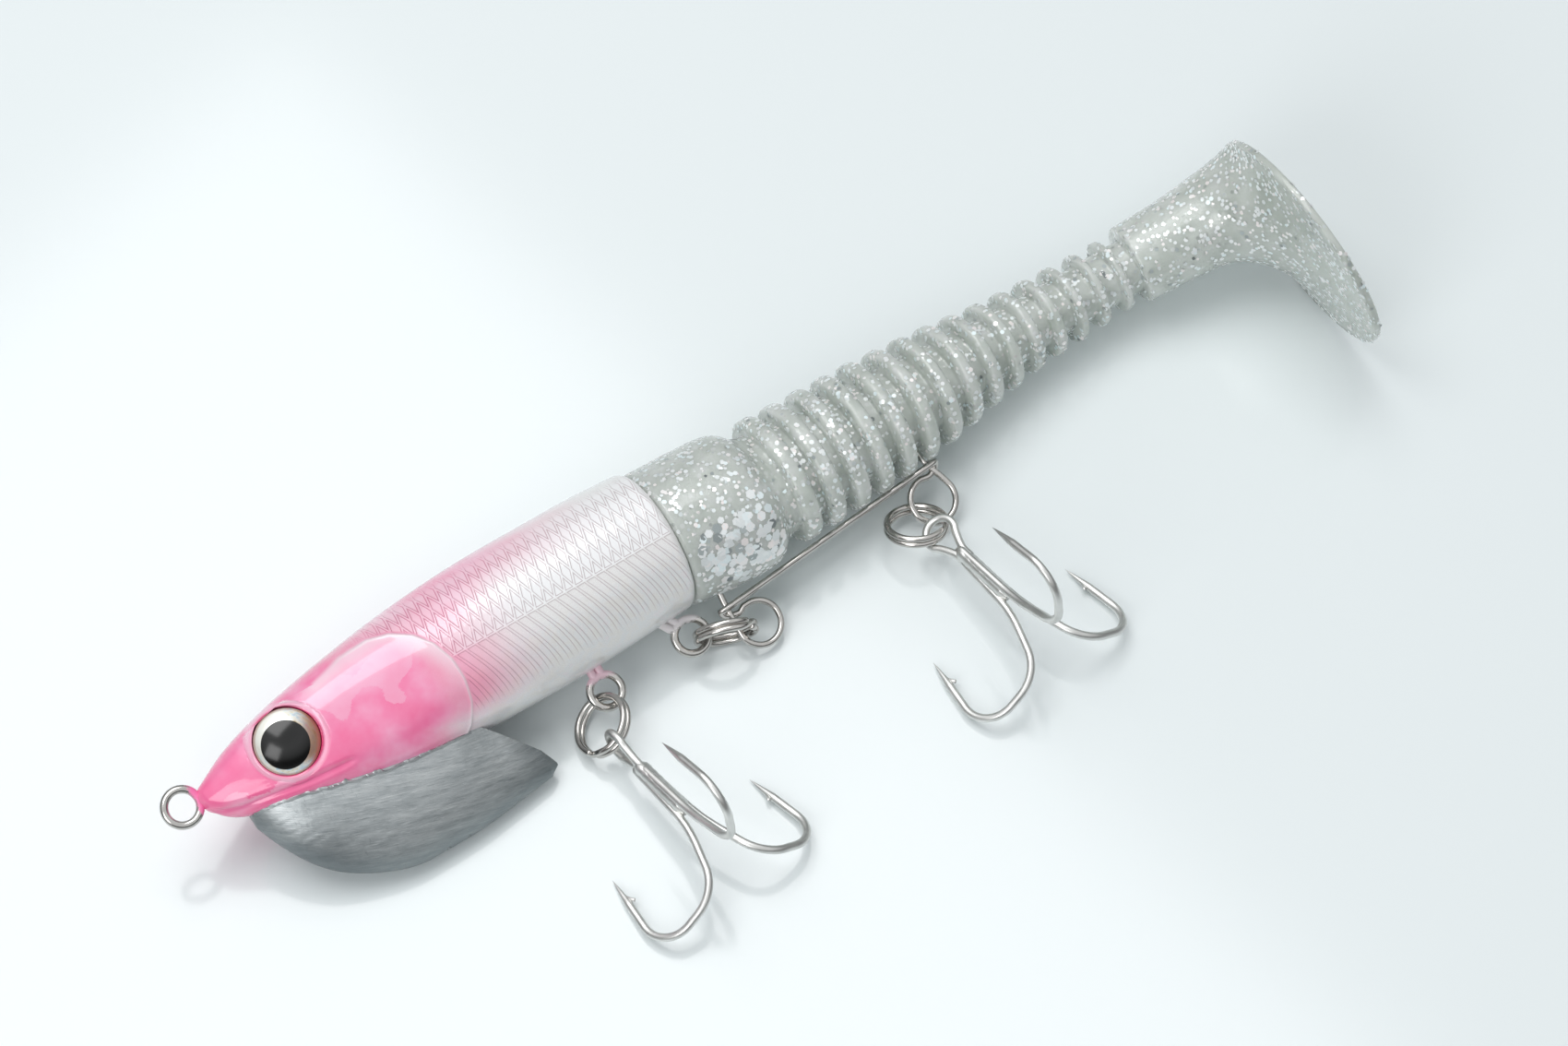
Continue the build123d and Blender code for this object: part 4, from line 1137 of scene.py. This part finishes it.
def build_treble(prefix, ring_node, hook, material):
    origin, axis, branch, third = treble_frame(ring_node, hook)

    def place(points, turn=0.0):
        c, s = math.cos(math.radians(turn)), math.sin(math.radians(turn))
        x, y, z = np.asarray(points, float).T
        y, z = y * c - z * s, y * s + z * c
        return origin + x[:, None] * axis + y[:, None] * branch + z[:, None] * third

    def add_branch(parts, turn, start_share):
        path, radius, point = hook_branch(start_share)
        ring, faces = tube(path, radius, 18)
        parts.add(place(ring, turn), faces)
        ring, faces = barb(*point)
        parts.add(place(ring, turn), faces)

    double, single = Parts(), Parts()
    eye = HOOK_EYE_RADIUS + HOOK_WIRE / 2
    leg = (0.30 * HOOK_LENGTH, 0.66, 0.0)
    line = [leg, (0.235 * HOOK_LENGTH, 0.74, 0.0)]
    for a in np.linspace(math.radians(48), math.radians(312), 15):
        line.append((eye + HOOK_EYE_RADIUS * math.cos(a), HOOK_EYE_RADIUS * math.sin(a), 0.0))
    line += [(0.235 * HOOK_LENGTH, -0.74, 0.0), (leg[0], -leg[1], 0.0)]
    ring, faces = tube(smooth_path(line, 0.25), HOOK_WIRE / 2, 20)
    double.add(place(ring), faces)
    for turn in (120, 240):
        add_branch(double, turn, 0.235)
    spine = np.stack([np.linspace(0.225, 0.60, 60) * HOOK_LENGTH, np.zeros(60), np.zeros(60)], 1)
    ends = np.minimum(np.linspace(0, 1, 60), np.linspace(1, 0, 60))
    fill = 1.22 * np.clip(ends / 0.10, 0.25, 1) ** 0.5

    def lobed(angles, index):
        return 1 + 0.10 * np.cos(3 * angles + 0.4) + 0.02 * math.sin(index * 0.9)

    ring, faces = tube(spine, fill, 36, lobes=lobed)
    double.add(place(ring), faces)
    add_branch(single, 0, 0.28)
    pair = double.make(prefix + "_treble_pair", [material]), single.make(prefix + "_treble_third", [material])
    return pair


def steel(name, colour, roughness, fine, grain):
    """Bright metal whose roughness drifts along the wire."""
    paint = Paint(name, colour, Metallic=1.0, Roughness=roughness)
    place = paint.object_place()
    smear = paint.noise(place, 900.0, 4.0, 0.65)
    spots = paint.noise(place, 260.0, 2.0)
    paint.set("Base Color", paint.mix(spots.step(0.30, 0.75) * 0.5, colour, tuple(c * 0.62 for c in colour)))
    paint.set("Roughness", smear * fine + (roughness - fine / 2))
    paint.bump(smear, grain, 0.35)
    return paint.material


def painted_wire(name, colour, axis, top, bottom):
    """Steel wire eye whose legs took body paint where they leave the shell, along the lure's axis given."""
    steel_colour = (0.60, 0.585, 0.56)
    paint = Paint(name, colour)
    place = paint.object_place()
    x, y, z = paint.parts(place)
    along = x * float(axis[0]) + y * float(axis[1]) + z * float(axis[2])
    start = float(axis @ NOSE) * MM
    height = (along - start) * (1 / MM)
    ragged = paint.noise(place, 900.0, 3.0, 0.7)
    cover = (height + (ragged - 0.5) * 1.6).step(bottom, top)
    smear = paint.noise(place, 700.0, 4.0)
    metal = paint.mix(smear.step(0.3, 0.75) * 0.4, steel_colour, (0.36, 0.35, 0.34))
    paint.set("Base Color", paint.mix(cover, metal, colour))
    paint.set("Metallic", cover * -1.0 + 1.0)
    paint.set("Roughness", cover * 0.18 + 0.16)
    paint.bump(ragged, 0.03, 0.4)
    return paint.material


def spigot_plastic():
    paint = Paint("spigot_plastic", (0.72, 0.74, 0.72), Roughness=0.45)
    grain = paint.noise(paint.object_place(), 600.0, 3.0)
    paint.set("Base Color", paint.mix(grain, (0.62, 0.65, 0.62), (0.80, 0.82, 0.80)))
    return paint.material


# ---------------------------------------------------------------- floor, light and camera
def build_floor():
    paint = Paint("floor_gloss", Roughness=0.12, Specular_IOR_Level=0.5)
    place = paint.object_place()
    cloud = paint.noise(place, 3.0, 2.0)
    paint.set("Base Color", paint.mix(cloud, (0.83, 0.885, 0.89), (0.85, 0.90, 0.905)))
    bpy.ops.mesh.primitive_plane_add(size=6.0, location=(0, 0, 0))
    floor = bpy.context.object
    floor.name = "table_top"
    floor.data.materials.append(paint.material)


def build_world():
    world = bpy.data.worlds.new("studio")
    world.use_nodes = True
    bpy.context.scene.world = world
    tree = world.node_tree
    nodes, links = tree.nodes, tree.links
    path = nodes.new("ShaderNodeLightPath")
    seen = nodes.new("ShaderNodeMath")
    seen.operation = "MAXIMUM"
    links.new(path.outputs["Is Camera Ray"], seen.inputs[0])
    links.new(path.outputs["Is Transmission Ray"], seen.inputs[1])
    light = nodes["Background"]
    light.inputs["Color"].default_value = (0.93, 0.97, 1.0, 1)
    light.inputs["Strength"].default_value = 0.44
    shown = nodes.new("ShaderNodeBackground")
    shown.inputs["Color"].default_value = (0.87, 0.92, 0.925, 1)
    shown.inputs["Strength"].default_value = 1.0
    glossy = nodes.new("ShaderNodeBackground")
    glossy.inputs["Strength"].default_value = 1.0
    coords = nodes.new("ShaderNodeTexCoord")
    split = nodes.new("ShaderNodeSeparateXYZ")
    links.new(coords.outputs["Generated"], split.inputs[0])
    ramp = nodes.new("ShaderNodeValToRGB")
    links.new(split.outputs["Z"], ramp.inputs[0])
    stops = ((0.0, 0.55), (0.12, 0.10), (0.34, 0.05), (0.50, 0.55), (0.75, 0.90), (1.0, 0.75))
    while len(ramp.color_ramp.elements) < len(stops):
        ramp.color_ramp.elements.new(0.5)
    for element, (place, level) in zip(ramp.color_ramp.elements, stops):
        element.position = place
        element.color = (level * 0.97, level * 0.99, level, 1)
    links.new(ramp.outputs[0], glossy.inputs["Color"])
    first, second = nodes.new("ShaderNodeMixShader"), nodes.new("ShaderNodeMixShader")
    links.new(path.outputs["Is Glossy Ray"], first.inputs[0])
    links.new(light.outputs[0], first.inputs[1])
    links.new(glossy.outputs[0], first.inputs[2])
    links.new(seen.outputs[0], second.inputs[0])
    links.new(first.outputs[0], second.inputs[1])
    links.new(shown.outputs[0], second.inputs[2])
    links.new(second.outputs[0], nodes["World Output"].inputs["Surface"])


def add_lamp(name, place, size, power, target=(0, 0, 0)):
    lamp = bpy.data.lights.new(name, "AREA")
    lamp.shape = "RECTANGLE"
    lamp.size, lamp.size_y = size
    lamp.energy = power
    obj = bpy.data.objects.new(name, lamp)
    bpy.context.scene.collection.objects.link(obj)
    obj.location = place
    obj.rotation_euler = (Vector(target) - Vector(place)).to_track_quat("-Z", "Y").to_euler()


def build_camera():
    target = (Vector(NOSE) + Vector((101.35, -3.2, 0))) * MM
    target.z = 0
    camera = bpy.data.cameras.new("photo_view")
    camera.lens, camera.sensor_width = 104.48, 36.0
    obj = bpy.data.objects.new("photo_view", camera)
    bpy.context.scene.collection.objects.link(obj)
    distance, elevation, roll = 0.6853, math.radians(60), math.radians(0.46)
    look = Vector((0.569 * math.cos(elevation), 0.822 * math.cos(elevation),
                   -math.sin(elevation))).normalized()
    obj.location = target - look * distance
    obj.rotation_mode = "QUATERNION"
    level = look.to_track_quat("-Z", "Y")
    obj.rotation_quaternion = level @ Matrix.Rotation(roll, 3, "Z").to_quaternion()
    bpy.context.scene.camera = obj


# ---------------------------------------------------------------- put together
def finish_piece(obj, body, slot, *nodes):
    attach(obj, body)
    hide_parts(*nodes)


def dress(node, material):
    """Gives a CAD node that stays its own material."""
    mesh = frame["nodes"][node].data
    mesh.materials.clear()
    mesh.materials.append(material)


build_camera()
build_floor()
build_world()
add_lamp("softbox_top", (-0.10, 0.35, 1.10), (1.0, 0.7), 7.0)
add_lamp("softbox_side", (-0.75, -0.35, 0.60), (0.5, 0.5), 2.4)

finish_piece(build_body(body_paint()), "lure_body", "shell", "body_shell_left", "body_shell_right")
resin = eye_resin()
for side_name, side in (("left", 1), ("right", -1)):
    eye = build_eye(side, "resin_eye_" + side_name, resin)
    finish_piece(eye, "lure_body", "eye_dome", "eye_foil_" + side_name, "eye_dome_" + side_name)
finish_piece(build_keel(brushed_lead()), "lure_body", "lead", "keel_weight")

tail = build_tail(soft_plastic(), flake_foil())
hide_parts("soft_tail_front", "soft_tail_rear")
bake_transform(tail)

stainless = steel("stainless_wire", (0.62, 0.60, 0.575), 0.17, 0.10, 0.02)
tinned = steel("tinned_hook", (0.77, 0.77, 0.75), 0.36, 0.16, 0.03)
finish_piece(build_rig(stainless), "lure_body", "wire", "rig_wire")
for name, node, body, normal, turn in (
    ("split_ring_front", "front_split_ring", "front_ring", FRONT_RING_NORMAL, 2.2),
    ("split_ring_link", "link_split_ring", "link_ring", LINK_RING_NORMAL, 4.0),
    ("split_ring_rear", "rear_split_ring", "rear_ring", REAR_RING_NORMAL, 5.3),
):
    finish_piece(build_split_ring(name, node, normal, turn, stainless), body, "ring_steel", node)
for prefix, ring_node, hook in (("front", "front_split_ring", FRONT_HOOK),
                                ("rear", "rear_split_ring", REAR_HOOK)):
    pair, third = build_treble(prefix, ring_node, hook, tinned)
    finish_piece(pair, prefix + "_hook", "hook_steel", prefix + "_treble_double")
    finish_piece(third, prefix + "_hook", "hook_steel", prefix + "_treble_single")
pink = (0.95, 0.20, 0.45)
white = (0.80, 0.76, 0.77)
dress("nose_eye", painted_wire("nose_wire", pink, LYING[:, 0], 2.3, 1.7))
dress("belly_eye", painted_wire("belly_wire", (0.88, 0.62, 0.70), LYING[:, 1], -13.6, -14.6))
dress("rear_eye", painted_wire("rear_wire", white, LYING[:, 1], -13.0, -13.8))
dress("tail_spigot", spigot_plastic())

bpy.context.scene.view_settings.view_transform = "Standard"
